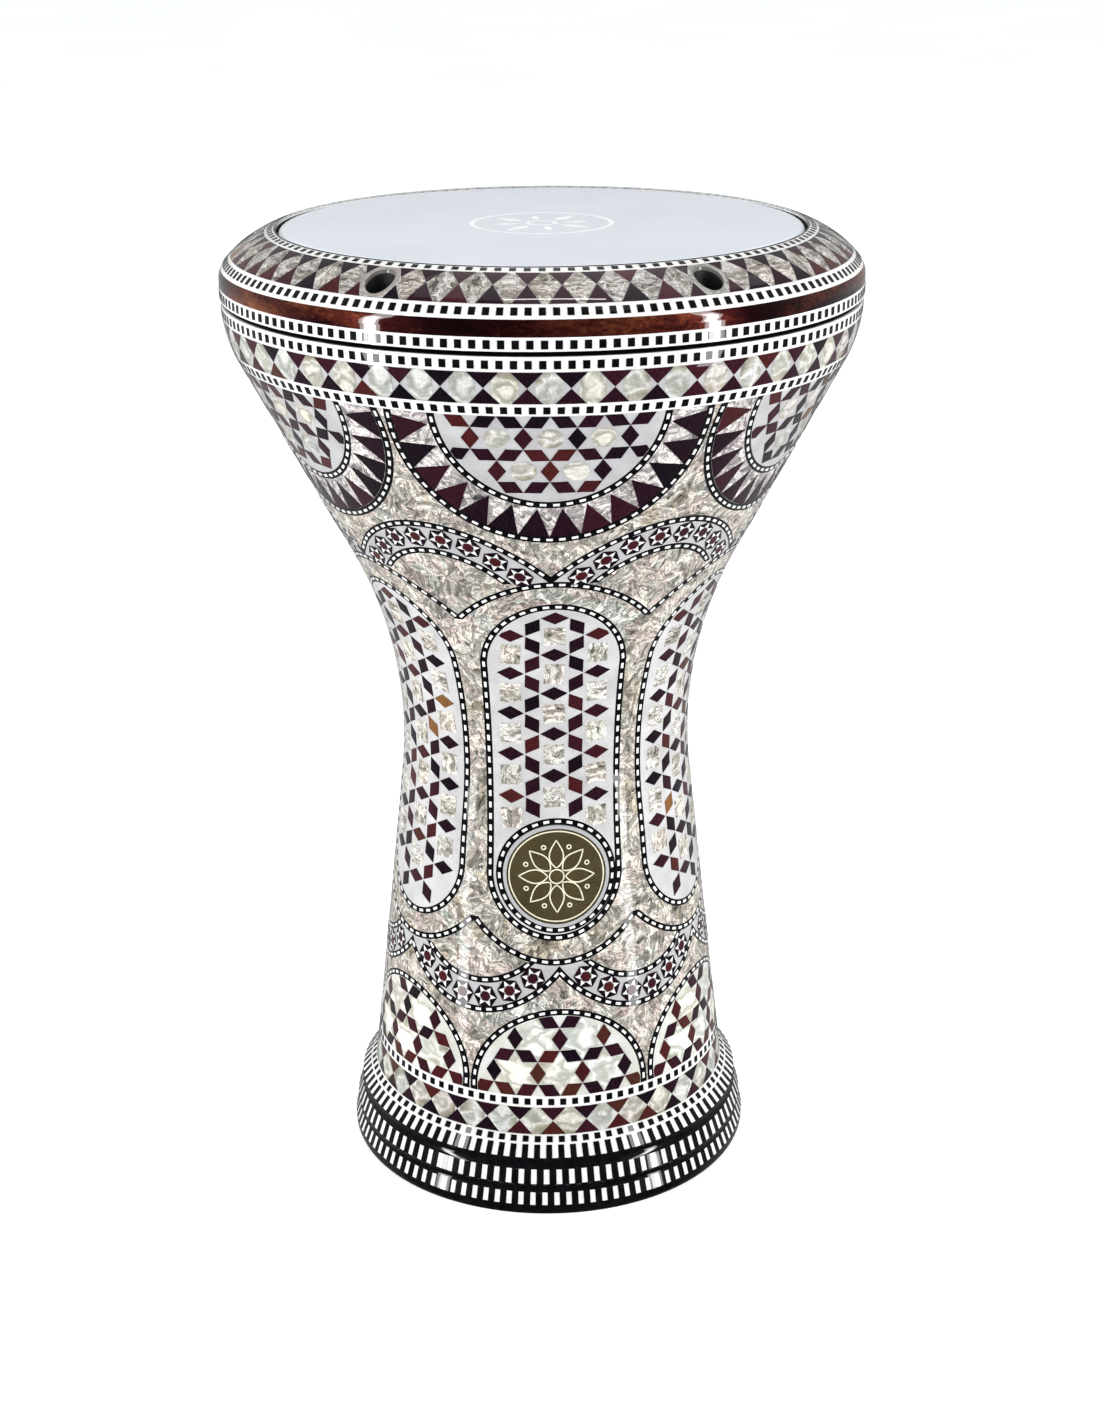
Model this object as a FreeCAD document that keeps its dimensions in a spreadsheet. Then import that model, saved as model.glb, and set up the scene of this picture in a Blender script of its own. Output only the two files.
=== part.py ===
import FreeCAD, Part
import math
import os
import Sketcher

# A darbuka: a cast goblet shell with inlaid ornament, a film head on a hoop, and a
# clamping ring drawn down by six recessed screws. Millimetres, +Z up, origin at the
# centre of the foot, the medallion's side towards -Y.

DIMENSIONS = [
    # the goblet's outer surface, ornament included
    ("shoulder_rad", 136.6, "radius of the shoulder, the widest place of the shell"),
    ("shoulder_top", 400.6, "height of the shoulder's flat top"),
    ("shoulder_arc", 51.0, "arc that rounds the shoulder into the bowl"),
    ("bowl_slope", 27.5, "lean of the bowl's straight wall, degrees"),
    ("throat_rad", 65.1, "radius at the throat, the narrowest place"),
    ("throat_height", 205.0, "height of the throat"),
    ("foot_slope", 6.4, "lean of the wall below the throat, degrees"),
    ("skirt_height", 34.8, "height where the wall meets the black foot"),
    ("inlay", 1.2, "thickness of the inlaid ornament"),
    ("wall", 4.0, "thickness of the casting"),
    ("flange", 8.0, "thickness of the shoulder flange"),
    # bearing edge and head
    ("bearing_rad", 111.0, "outer radius of the bearing edge"),
    ("bearing_wall", 5.5, "thickness of the bearing edge"),
    ("bearing_top", 429.2, "height of the bearing edge"),
    ("bearing_round", 2.5, "rounding of the bearing edge"),
    ("film", 0.4, "thickness of the drum film"),
    ("hem_height", 409.0, "height of the film's lower hem"),
    ("resin", 0.6, "thickness of the resin between hem and hoop"),
    ("hoop_rad", 116.2, "outer radius of the hoop"),
    ("hoop_low", 408.5, "underside of the hoop"),
    ("hoop_high", 415.5, "top of the hoop"),
    ("hoop_edge", 0.6, "chamfer of the hoop"),
    # clamping ring
    ("ring_rad", 137.0, "outer radius of the clamping ring"),
    ("ring_low", 402.7, "underside of the clamping ring"),
    ("ring_side", 410.5, "height where the ring's side starts to round over"),
    ("corner_arc", 8.0, "arc of the ring's corner"),
    ("corner_turn", 40.0, "turn of that arc, degrees"),
    ("crown_arc", 44.3, "arc of the ring's crown"),
    ("lip_rad", 112.5, "radius of the ring's inner lip"),
    ("ledge_height", 415.8, "height of the ledge that bears on the hoop"),
    ("pocket_rad", 116.6, "radius of the pocket round the hoop"),
    ("ring_strip_rad", 117.0, "radius where the lip's dotted strip ends"),
    ("ring_band_rad", 131.6, "radius where the ring's diamond band ends"),
    ("ring_wood_top", 414.5, "top of the ring's wooden band"),
    ("ring_wood_low", 408.0, "bottom of the ring's wooden band"),
    ("ring_clocking", 0.45, "turn of the ring's first screw from its even place, degrees"),
    # screws
    ("screws", 6, "number of tuning screws, and of ornament panels in each row"),
    ("screw_circle", 124.5, "radius of the circle of the screws"),
    ("screw_rad", 3.0, "radius of the screw's thread"),
    ("screw_length", 30.0, "length of the screw under its head"),
    ("screw_head_rad", 5.0, "radius of the screw's head"),
    ("screw_head", 6.0, "height of the screw's head"),
    ("screw_edge", 0.5, "chamfer of the screw"),
    ("key_rad", 2.89, "radius over the corners of the key socket"),
    ("key_depth", 3.0, "depth of the key socket"),
    ("seat_height", 411.0, "height of the washers' seats"),
    ("seat_rad", 5.75, "radius of the recess over each screw"),
    ("lining_rad", 7.3, "outer radius of the lining of a recess's mouth"),
    ("lining_low", 416.5, "underside of that lining"),
    ("clearance_rad", 3.3, "radius of the hole that each screw passes"),
    ("washer", 1.6, "thickness of a washer"),
    ("washer_rad", 5.5, "outer radius of a washer"),
    ("washer_bore", 3.2, "inner radius of a washer"),
    ("tile_rad", 7.6, "radius over the corners of the tile round each recess"),
    ("insert_rad", 4.5, "outer radius of a threaded insert"),
    ("insert_bore", 3.05, "inner radius of a threaded insert"),
    ("insert_length", 18.0, "length of a threaded insert"),
    ("pilot_rad", 3.2, "radius of the blind hole below an insert"),
    ("pilot_depth", 19.6, "depth of that hole below the shoulder"),
    ("boss_rad", 6.4, "radius of the boss round an insert"),
    ("boss_low", 380.0, "underside of the bosses"),
    # bands of ornament on the shell, by height
    ("shoulder_strip", 394.9, "lower edge of the shoulder's dotted strip"),
    ("shoulder_band", 381.9, "lower edge of the shoulder's diamond band"),
    ("bowl_strip", 376.9, "lower edge of the bowl's dotted strip"),
    ("ankle_strip", 53.3, "upper edge of the ankle's dotted strip"),
    ("ankle_band", 48.1, "upper edge of the foot's diamond band"),
    # panels, as circles seen from the front
    ("stringing", 3.0, "width of the dashed stringing round the panels"),
    ("scallop_height", 382.4, "centre of the scallops"),
    ("scallop_rad", 62.8, "radius of a scallop's outer stringing"),
    ("scallop_core", 46.1, "radius of its inner stringing"),
    ("scallop_turn", 1.2, "turn of the scallops, degrees"),
    ("arch_height", 269.4, "centre of the upper arches' outer stringing"),
    ("arch_rad", 54.1, "its radius"),
    ("arch_core_height", 273.9, "centre of the upper arches' inner stringing"),
    ("arch_core", 36.6, "its radius"),
    ("arch_foot", 297.0, "height where the upper arches end"),
    ("arch_turn", 31.6, "turn of the upper arches, degrees"),
    ("halo_height", 247.7, "centre of the upper halos"),
    ("halo_rad", 49.3, "radius of the upper halos"),
    ("halo_foot", 276.5, "height where the upper halos end"),
    ("panel_top", 256.0, "centre of a neck panel's upper end"),
    ("panel_top_rad", 29.6, "radius of a neck panel's upper end"),
    ("panel_low", 156.9, "centre of a neck panel's lower end"),
    ("panel_rad", 28.4, "radius of a neck panel's lower end"),
    ("panel_side", 880.0, "arc of a neck panel's hollow sides"),
    ("panel_turn", 3.0, "turn of the neck panels and the halos, degrees"),
    ("low_halo_height", 160.6, "centre of the lower halos"),
    ("low_halo_rad", 43.6, "radius of the lower halos"),
    ("low_halo_foot", 135.7, "height where the lower halos end"),
    ("low_arch_height", 136.1, "centre of the lower arches' outer stringing"),
    ("low_arch_rad", 43.9, "its radius"),
    ("low_arch_core_height", 141.9, "centre of the lower arches' inner stringing"),
    ("low_arch_core", 35.7, "its radius"),
    ("low_arch_foot", 117.0, "height where the lower arches end"),
    ("low_arch_turn", 34.0, "turn of the lower arches, degrees"),
    ("dome_height", 55.0, "centre of the domes"),
    ("dome_rad", 38.6, "radius of a dome's stringing"),
    ("dome_turn", 3.8, "turn of the domes, degrees"),
    # medallion
    ("medal_height", 157.0, "height of the medallion's centre"),
    ("medal_rad", 21.9, "radius of the brass disc"),
    ("bezel_rad", 23.4, "outer radius of its bezel"),
    ("border_rad", 26.4, "outer radius of its dashed border"),
    ("medal_turn", 3.5, "turn of the medallion, degrees"),
    ("medal_rise", 0.5, "how far the disc stands proud"),
    ("bezel_rise", 0.9, "how far the bezel stands proud"),
    # black foot
    ("foot_rad", 94.0, "radius of the foot's lowest tier"),
    ("foot_base", 93.4, "radius of the foot where it stands"),
    ("foot_bead", 1.4, "height of the bevel at its base"),
    ("low_bars", 4.9, "bottom of the lower row of bars"),
    ("low_bars_top", 10.2, "top of the lower row of bars"),
    ("low_bars_rad", 92.0, "radius there"),
    ("mid_bars", 14.9, "bottom of the middle row of bars"),
    ("mid_bars_foot", 92.5, "radius there"),
    ("mid_bars_top", 21.0, "top of the middle row of bars"),
    ("mid_bars_rad", 90.2, "radius there"),
    ("high_bars", 26.9, "bottom of the upper row of bars"),
    ("high_bars_foot", 89.9, "radius there"),
    ("high_bars_top", 31.4, "top of the upper row of bars"),
    ("groove_arc", 4.2, "arc of the grooves between the tiers"),
    ("tier_skin", 2.4, "thickness of the black resin on the foot"),
    ("foot_inner", 85.5, "inner radius of the foot"),
    ("foot_hollow", 18.0, "height of the foot's straight inside"),
]

doc = FreeCAD.newDocument("darbuka")
sheet = doc.addObject("Spreadsheet::Sheet", "Dims")
for row, (alias, number, meaning) in enumerate(DIMENSIONS, start=1):
    sheet.set("A%d" % row, alias)
    sheet.set("B%d" % row, str(number))
    sheet.set("C%d" % row, meaning)
    sheet.setAlias("B%d" % row, alias)
doc.recompute()

NODES = []


def value(expression):
    """The number that an expression of the sheet's cells gives."""
    result = doc.Dims.evalExpression(expression)
    return float(getattr(result, "Value", result))


# ---- derived places of the goblet's surface, as expressions ----
BOWL_RAD = "(Dims.shoulder_rad - Dims.shoulder_arc * (1 - cos(Dims.bowl_slope)))"
BOWL_HEIGHT = "(Dims.shoulder_top - Dims.shoulder_arc * sin(Dims.bowl_slope))"
# the throat's arc is tangent to the bowl's straight wall
THROAT_ARC = ("((tan(Dims.bowl_slope) * (%s - Dims.throat_height) - (%s - Dims.throat_rad))"
              " / (1 / cos(Dims.bowl_slope) - 1))" % (BOWL_HEIGHT, BOWL_RAD))


def goblet(depth, low):
    """The surface at a depth under the ornament, from the shoulder's top down to a height."""
    shoulder = "(Dims.shoulder_arc - %s)" % depth
    throat = "(%s + %s)" % (THROAT_ARC, depth)
    center = "(Dims.throat_rad + %s)" % THROAT_ARC
    foot_x = "(%s - %s * cos(Dims.foot_slope))" % (center, throat)
    foot_y = "(Dims.throat_height - %s * sin(Dims.foot_slope))" % throat
    return [
        ("Dims.shoulder_rad - %s" % depth, "Dims.shoulder_top"),
        ("Dims.shoulder_rad - Dims.shoulder_arc + %s * cos(Dims.bowl_slope)" % shoulder,
         "Dims.shoulder_top - %s * sin(Dims.bowl_slope)" % shoulder, shoulder),
        ("%s - %s * cos(Dims.bowl_slope)" % (center, throat),
         "Dims.throat_height + %s * sin(Dims.bowl_slope)" % throat),
        (foot_x, foot_y, "-" + throat),
        ("%s + tan(Dims.foot_slope) * (%s - (%s))" % (foot_x, foot_y, low), low),
    ]


def backwards(path):
    """The same outline walked the other way, with its arcs bent the other way."""
    turned = []
    for index in range(len(path) - 1, -1, -1):
        point = path[index][:2]
        if index + 1 < len(path) and len(path[index + 1]) == 3:
            radius = path[index + 1][2]
            point += (radius[1:] if radius.startswith("-") else "-" + radius,)
        turned.append(point)
    return turned


# ---- builders ----
def new_body(label):
    body = doc.addObject("PartDesign::Body", label)
    body.Label = label
    body.AllowCompound = True
    return body


def new_sketch(body, role, lift=None):
    sketch = body.newObject("Sketcher::SketchObject", "outline")
    support = [feature for feature in body.Origin.OriginFeatures if feature.Role == role]
    sketch.AttachmentSupport = [(support[0], "")]
    sketch.MapMode = "FlatFace"
    if lift:
        sketch.setExpression("AttachmentOffset.Base.z", lift)
    return sketch


def bind(sketch, kind, place, expression):
    """Adds one dimension to a sketch and binds it to the sheet."""
    index = sketch.addConstraint(Sketcher.Constraint(kind, *place, value(expression)))
    sketch.setExpression("Constraints[%d]" % index, expression)


def draw_path(sketch, path):
    """Closed outline: each point is (x, y) after a line or (x, y, radius) after an arc.

    A positive radius bends clockwise and a negative one the other way.
    """
    spots = [FreeCAD.Vector(value(point[0]), value(point[1]), 0) for point in path]
    ends = []
    for index in range(len(path)):
        after = (index + 1) % len(path)
        begin, end = spots[index], spots[after]
        if len(path[after]) == 3:
            radius = value(path[after][2])
            half = (end - begin) * 0.5
            rise = math.sqrt(radius ** 2 - half.Length ** 2)
            side = FreeCAD.Vector(half.y, -half.x, 0).normalize() * math.copysign(rise, radius)
            center = begin + half + side
            circle = Part.Circle(center, FreeCAD.Vector(0, 0, 1), abs(radius))
            angles = [math.atan2(spot.y - center.y, spot.x - center.x) for spot in (begin, end)]
            forward = radius < 0
            if not forward:
                angles.reverse()
            edge = sketch.addGeometry(Part.ArcOfCircle(circle, *angles))
            ends.append((edge, 1, 2) if forward else (edge, 2, 1))
            size = path[after][2].lstrip("-")
            bind(sketch, "Radius", (edge,), size)
        else:
            edge = sketch.addGeometry(Part.LineSegment(begin, end))
            ends.append((edge, 1, 2))
    for index, (edge, start, stop) in enumerate(ends):
        other, other_start, other_stop = ends[(index + 1) % len(ends)]
        sketch.addConstraint(Sketcher.Constraint("Coincident", edge, stop, other, other_start))
        for kind, axis, expression in (("DistanceX", -2, path[index][0]),
                                       ("DistanceY", -1, path[index][1])):
            if expression == "0":
                sketch.addConstraint(Sketcher.Constraint("PointOnObject", edge, start, axis))
            else:
                bind(sketch, kind, (-1, 1, edge, start), expression)


def draw_circle(sketch, radius, x="0", y="0"):
    center = FreeCAD.Vector(value(x), value(y), 0)
    circle = sketch.addGeometry(
        Part.Circle(center, FreeCAD.Vector(0, 0, 1), value(radius)))
    for kind, axis, expression in (("DistanceX", -2, x), ("DistanceY", -1, y)):
        if expression == "0":
            sketch.addConstraint(Sketcher.Constraint("PointOnObject", circle, 3, axis))
        else:
            bind(sketch, kind, (-1, 1, circle, 3), expression)
    bind(sketch, "Radius", (circle,), radius)


def revolve(body, path):
    sketch = new_sketch(body, "XZ_Plane")
    draw_path(sketch, path)
    turned = body.newObject("PartDesign::Revolution", "revolution")
    turned.Profile = sketch
    turned.ReferenceAxis = (sketch, ["V_Axis"])
    turned.Angle = 360
    doc.recompute()
    return turned


def revolved(label, path):
    body = new_body(label)
    revolve(body, path)
    return body


def extrude(body, kind, sketch, length, reverse=False):
    feature = body.newObject("PartDesign::" + kind, kind.lower())
    feature.Profile = sketch
    feature.Reversed = reverse
    feature.setExpression("Length", length)
    doc.recompute()
    return feature


def around(body, features):
    """Repeats features round the axis, once for each screw."""
    pattern = body.newObject("PartDesign::PolarPattern", "pattern")
    pattern.Originals = features
    axis = [feature for feature in body.Origin.OriginFeatures if feature.Role == "Z_Axis"]
    pattern.Axis = (axis[0], [""])
    pattern.Angle = 360
    pattern.setExpression("Occurrences", "Dims.screws")
    body.Tip = pattern
    doc.recompute()


def turn(thing, expression):
    """Turns a thing about the drum's axis."""
    thing.Placement = FreeCAD.Placement(FreeCAD.Vector(), FreeCAD.Vector(0, 0, 1), 1)
    thing.setExpression("Placement.Rotation.Angle", expression)


def prism(label, draw, turning, repeated=True):
    """A cutter that runs forward from the axis with the outline seen from the front."""
    body = new_body(label)
    sketch = new_sketch(body, "XZ_Plane")
    draw(sketch)
    pad = extrude(body, "Pad", sketch, "Dims.shoulder_rad * 1.2")
    if repeated:
        around(body, [pad])
    turn(body, turning)
    return body


def boolean(kind, label, base, tool):
    result = doc.addObject("Part::" + kind, label)
    result.Label = label
    result.Base = base
    result.Tool = tool
    doc.recompute()
    return result


def less(label, base, tools):
    """The base with several cutters taken away, one after the other."""
    for number, tool in enumerate(tools):
        last = number == len(tools) - 1
        base = boolean("Cut", label if last else "%s_cut_%d" % (label, number), base, tool)
    return base


def node(thing, solids=1):
    """Marks a thing as a sub-part that is written out, with its number of solids if known."""
    NODES.append((thing, solids))
    return thing


def zone(label, inner, outer, low, high):
    """A plain ring that marks out one band of a surface."""
    return revolved(label, [(inner, low), (outer, low), (outer, high), (inner, high)])


# ---- shell ----
SCREW_TURN = "Dims.ring_clocking + 180 / Dims.screws"


def make_shell():
    bearing_in = "Dims.bearing_rad - Dims.bearing_wall"
    outside = goblet("Dims.inlay", "Dims.skirt_height")
    inside = goblet("(Dims.inlay + Dims.wall)", "Dims.skirt_height")
    flange_low = "Dims.shoulder_top - Dims.flange"
    # the inner wall starts where the shoulder's arc meets the flange
    inner_arc = "(Dims.shoulder_arc - Dims.inlay - Dims.wall)"
    inside[0] = ("Dims.shoulder_rad - Dims.shoulder_arc + sqrt(%s ^ 2 - Dims.flange ^ 2)"
                 % inner_arc, flange_low)
    tiers = []
    for radius, low, high in (("high_bars_foot", "mid_bars_top", "high_bars"),
                              ("mid_bars_rad", "low_bars_top", "mid_bars_top"),
                              ("low_bars_rad", None, "low_bars_top")):
        x = "Dims.%s - Dims.tier_skin" % radius
        tiers.append((x, "Dims." + high))
        tiers.append((x, "Dims." + low if low else "0"))
    path = outside + tiers + [
        ("Dims.foot_inner", "0"),
        ("Dims.foot_inner - Dims.inlay", "Dims.foot_hollow"),
    ] + backwards(inside) + [
        (bearing_in, flange_low),
        (bearing_in, "Dims.bearing_top - 1"),
        (bearing_in + " + 1", "Dims.bearing_top"),
        ("Dims.bearing_rad - Dims.bearing_round", "Dims.bearing_top"),
        ("Dims.bearing_rad", "Dims.bearing_top - Dims.bearing_round", "Dims.bearing_round"),
        ("Dims.bearing_rad", "Dims.shoulder_top"),
    ]
    body = revolved("shell", path)
    boss = new_sketch(body, "XY_Plane", "Dims.boss_low")
    draw_circle(boss, "Dims.boss_rad", y="-Dims.screw_circle")
    bosses = extrude(body, "Pad", boss,
                     "Dims.shoulder_top - Dims.flange / 2 - Dims.boss_low")
    around(body, [bosses])
    cuts = []
    for radius, depth in (("Dims.insert_rad", "Dims.insert_length"),
                          ("Dims.pilot_rad", "Dims.pilot_depth")):
        sketch = new_sketch(body, "XY_Plane", "Dims.shoulder_top")
        draw_circle(sketch, radius, y="-Dims.screw_circle")
        cuts.append(extrude(body, "Pocket", sketch, depth))
    around(body, cuts)
    turn(body, SCREW_TURN)
    return node(body)


def ring_of_tubes(label, outer, inner, low, height):
    """Six upright tubes on the circle of the screws."""
    body = new_body(label)
    sketch = new_sketch(body, "XY_Plane", low)
    draw_circle(sketch, outer, y="-Dims.screw_circle")
    draw_circle(sketch, inner, y="-Dims.screw_circle")
    around(body, [extrude(body, "Pad", sketch, height)])
    turn(body, SCREW_TURN)
    return node(body, int(value("Dims.screws")))


def make_head():
    edge = "Dims.bearing_top - Dims.bearing_round"
    bend = "Dims.bearing_rad - Dims.bearing_round"
    outer = "Dims.bearing_rad + Dims.film"
    top = "Dims.bearing_top + Dims.film"
    node(revolved("head_film", [
        ("0", top), (bend, top),
        (outer, edge, "(Dims.bearing_round + Dims.film)"),
        (outer, "Dims.hem_height"), ("Dims.bearing_rad", "Dims.hem_height"),
        ("Dims.bearing_rad", edge),
        (bend, "Dims.bearing_top", "-Dims.bearing_round"),
        ("0", "Dims.bearing_top")]))
    hoop = outer + " + Dims.resin"
    node(revolved("hoop_resin", [
        (outer, "Dims.hem_height"), (hoop, "Dims.hem_height"),
        (hoop, "Dims.hoop_high - Dims.hoop_edge"),
        (outer, "Dims.hoop_high - Dims.hoop_edge")]))
    node(revolved("head_hoop", [
        (hoop + " + Dims.hoop_edge", "Dims.hoop_low"),
        ("Dims.hoop_rad - Dims.hoop_edge", "Dims.hoop_low"),
        ("Dims.hoop_rad", "Dims.hoop_low + Dims.hoop_edge"),
        ("Dims.hoop_rad", "Dims.hoop_high - Dims.hoop_edge"),
        ("Dims.hoop_rad - Dims.hoop_edge", "Dims.hoop_high"),
        (hoop + " + Dims.hoop_edge", "Dims.hoop_high"),
        (hoop, "Dims.hoop_high - Dims.hoop_edge"),
        (hoop, "Dims.hoop_low + Dims.hoop_edge")]))


# ---- clamping ring ----
def crown(depth):
    """The ring's outer surface at a depth under its ornament, from the side to the lip."""
    corner = "(Dims.corner_arc - %s)" % depth
    arc = "(Dims.crown_arc - %s)" % depth
    corner_x = "(Dims.ring_rad - Dims.corner_arc)"
    crown_x = "(%s + (Dims.corner_arc - Dims.crown_arc) * cos(Dims.corner_turn))" % corner_x
    crown_y = "(Dims.ring_side + (Dims.corner_arc - Dims.crown_arc) * sin(Dims.corner_turn))"
    return [
        ("Dims.ring_rad - %s" % depth, "Dims.ring_side"),
        ("%s + %s * cos(Dims.corner_turn)" % (corner_x, corner),
         "Dims.ring_side + %s * sin(Dims.corner_turn)" % corner, "-" + corner),
        ("Dims.lip_rad", "%s + sqrt(%s ^ 2 - (Dims.lip_rad - %s) ^ 2)"
         % (crown_y, arc, crown_x), "-" + arc),
    ]


def ring_holes(body, radius, reverse, length, level="Dims.seat_height"):
    sketch = new_sketch(body, "XY_Plane", level)
    draw_circle(sketch, radius, y="-Dims.screw_circle")
    return extrude(body, "Pocket", sketch, length, reverse)


def make_ring():
    outline = [
        ("Dims.pocket_rad", "Dims.ring_low"),
        ("Dims.ring_rad - Dims.inlay", "Dims.ring_low"),
    ] + crown("Dims.inlay") + [
        ("Dims.lip_rad", "Dims.ledge_height"),
        ("Dims.pocket_rad", "Dims.ledge_height")]
    body = revolved("tension_ring", outline)
    seats = ring_holes(body, "Dims.seat_rad", True, "Dims.corner_arc * 3")
    mouths = ring_holes(body, "Dims.lining_rad", True, "Dims.corner_arc * 2", "Dims.lining_low")
    holes = ring_holes(body, "Dims.clearance_rad", False,
                       "Dims.seat_height - Dims.ring_low + 1")
    around(body, [seats, mouths, holes])
    turn(body, SCREW_TURN)
    node(body)

    skin = revolved("ring_skin", [("Dims.ring_rad", "Dims.ring_low")] + crown("0")
                    + backwards(crown("Dims.inlay"))
                    + [("Dims.ring_rad - Dims.inlay", "Dims.ring_low")])
    far = "Dims.ring_rad + 5"
    top = "Dims.bearing_top + 5"
    low = "Dims.ring_low - 5"
    near = "Dims.lip_rad - 5"
    node(boolean("Common", "ring_lip_strip", skin,
                 zone("lip_zone", near, "Dims.ring_strip_rad", low, top)))
    band = boolean("Common", "ring_band_blank", skin,
                   zone("band_zone", "Dims.ring_strip_rad", "Dims.ring_band_rad", low, top))
    node(boolean("Common", "ring_corner_strip", skin,
                 zone("corner_zone", "Dims.ring_band_rad", far, "Dims.ring_wood_top", top)))
    node(boolean("Common", "ring_wood_band", skin,
                 zone("wood_zone", near, far, "Dims.ring_wood_low", "Dims.ring_wood_top")))
    node(boolean("Common", "ring_lower_strip", skin,
                 zone("lower_zone", near, far, low, "Dims.ring_wood_low")))

    tiles = new_body("tile_blank")
    sketch = new_sketch(tiles, "XY_Plane", "Dims.ledge_height")
    corners = [(math.cos(math.radians(30 + 60 * k)), math.sin(math.radians(30 + 60 * k)))
               for k in range(6)]
    draw_path(sketch, [("Dims.tile_rad * %.6f" % x,
                        "-Dims.screw_circle + Dims.tile_rad * %.6f" % y)
                       for x, y in reversed(corners)])
    around(tiles, [extrude(tiles, "Pad", sketch, "Dims.bearing_top - Dims.ledge_height + 5")])
    turn(tiles, SCREW_TURN)
    bores = new_body("recess_blank")
    sketch = new_sketch(bores, "XY_Plane", "Dims.ledge_height")
    draw_circle(sketch, "Dims.seat_rad", y="-Dims.screw_circle")
    around(bores, [extrude(bores, "Pad", sketch, "Dims.bearing_top - Dims.ledge_height + 5")])
    turn(bores, SCREW_TURN)
    count = int(value("Dims.screws"))
    node(less("ring_diamond_band", band, [tiles]), count)
    whole = boolean("Common", "tile_common", band, tiles)
    node(less("screw_hole_tiles", whole, [bores]), count)

    plugs = new_body("lining_blank")
    sketch = new_sketch(plugs, "XY_Plane", "Dims.lining_low")
    draw_circle(sketch, "Dims.lining_rad", y="-Dims.screw_circle")
    around(plugs, [extrude(plugs, "Pad", sketch, "Dims.corner_arc * 2")])
    turn(plugs, SCREW_TURN)
    filled = boolean("Common", "lining_common", revolved("casting_blank", outline), plugs)
    node(less("recess_linings", filled, [bores]), count)


def make_screw(number):
    """One socket-head screw, made on its own axis and then put in its place."""
    under = "Dims.seat_height + Dims.washer"
    tip = under + " - Dims.screw_length"
    top = under + " + Dims.screw_head"
    body = revolved("tuning_screw_%d" % number, [
        ("0", tip), ("Dims.screw_rad - Dims.screw_edge", tip),
        ("Dims.screw_rad", tip + " + Dims.screw_edge"),
        ("Dims.screw_rad", under), ("Dims.screw_head_rad", under),
        ("Dims.screw_head_rad", top + " - Dims.screw_edge"),
        ("Dims.screw_head_rad - Dims.screw_edge", top), ("0", top)])
    sketch = new_sketch(body, "XY_Plane", top)
    corners = [(math.cos(math.radians(60 * k)), math.sin(math.radians(60 * k)))
               for k in range(6)]
    draw_path(sketch, [("Dims.key_rad * %.6f" % x if abs(x) > 1e-6 else "0",
                        "Dims.key_rad * %.6f" % y if abs(y) > 1e-6 else "0")
                       for x, y in reversed(corners)])
    extrude(body, "Pocket", sketch, "Dims.key_depth")
    angle = "(%s + %d * 360 / Dims.screws)" % (SCREW_TURN, number - 1)
    turn(body, angle)
    body.setExpression("Placement.Base.x", "Dims.screw_circle * sin%s" % angle)
    body.setExpression("Placement.Base.y", "-Dims.screw_circle * cos%s" % angle)
    return node(body)


# ---- ornament on the shell ----
def disc(height, radius):
    return lambda sketch: draw_circle(sketch, radius, y=height)


def cap(height, radius, foot, upward):
    """The part of a circle above its foot line, or below it."""
    half = "sqrt((%s) ^ 2 - (%s - %s) ^ 2)" % (radius, foot, height)
    bend = "(%s)" % radius
    tip = "%s + (%s)" % (height, radius) if upward else "%s - (%s)" % (height, radius)
    if not upward:
        bend = "-" + bend
    path = [("-" + half, foot), ("0", tip, bend), (half, foot, bend)]
    return lambda sketch: draw_path(sketch, path)


def neck_panel(grow):
    """A neck panel's outline, grown: hollow sides between two half circles."""
    top, low = "(%s)" % grow("Dims.panel_top_rad"), "(%s)" % grow("Dims.panel_rad")
    side = "-(2 * Dims.panel_side - (%s))" % grow("Dims.panel_side")
    path = [("-" + low, "Dims.panel_low", low), ("-" + top, "Dims.panel_top", side),
            ("0", "Dims.panel_top + " + top, top), (top, "Dims.panel_top", top),
            (low, "Dims.panel_low", side), ("0", "Dims.panel_low - " + low, low)]
    return lambda sketch: draw_path(sketch, path)


def wide(radius):
    return "%s + Dims.stringing / 2" % radius


def narrow(radius):
    return "%s - Dims.stringing / 2" % radius


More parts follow.
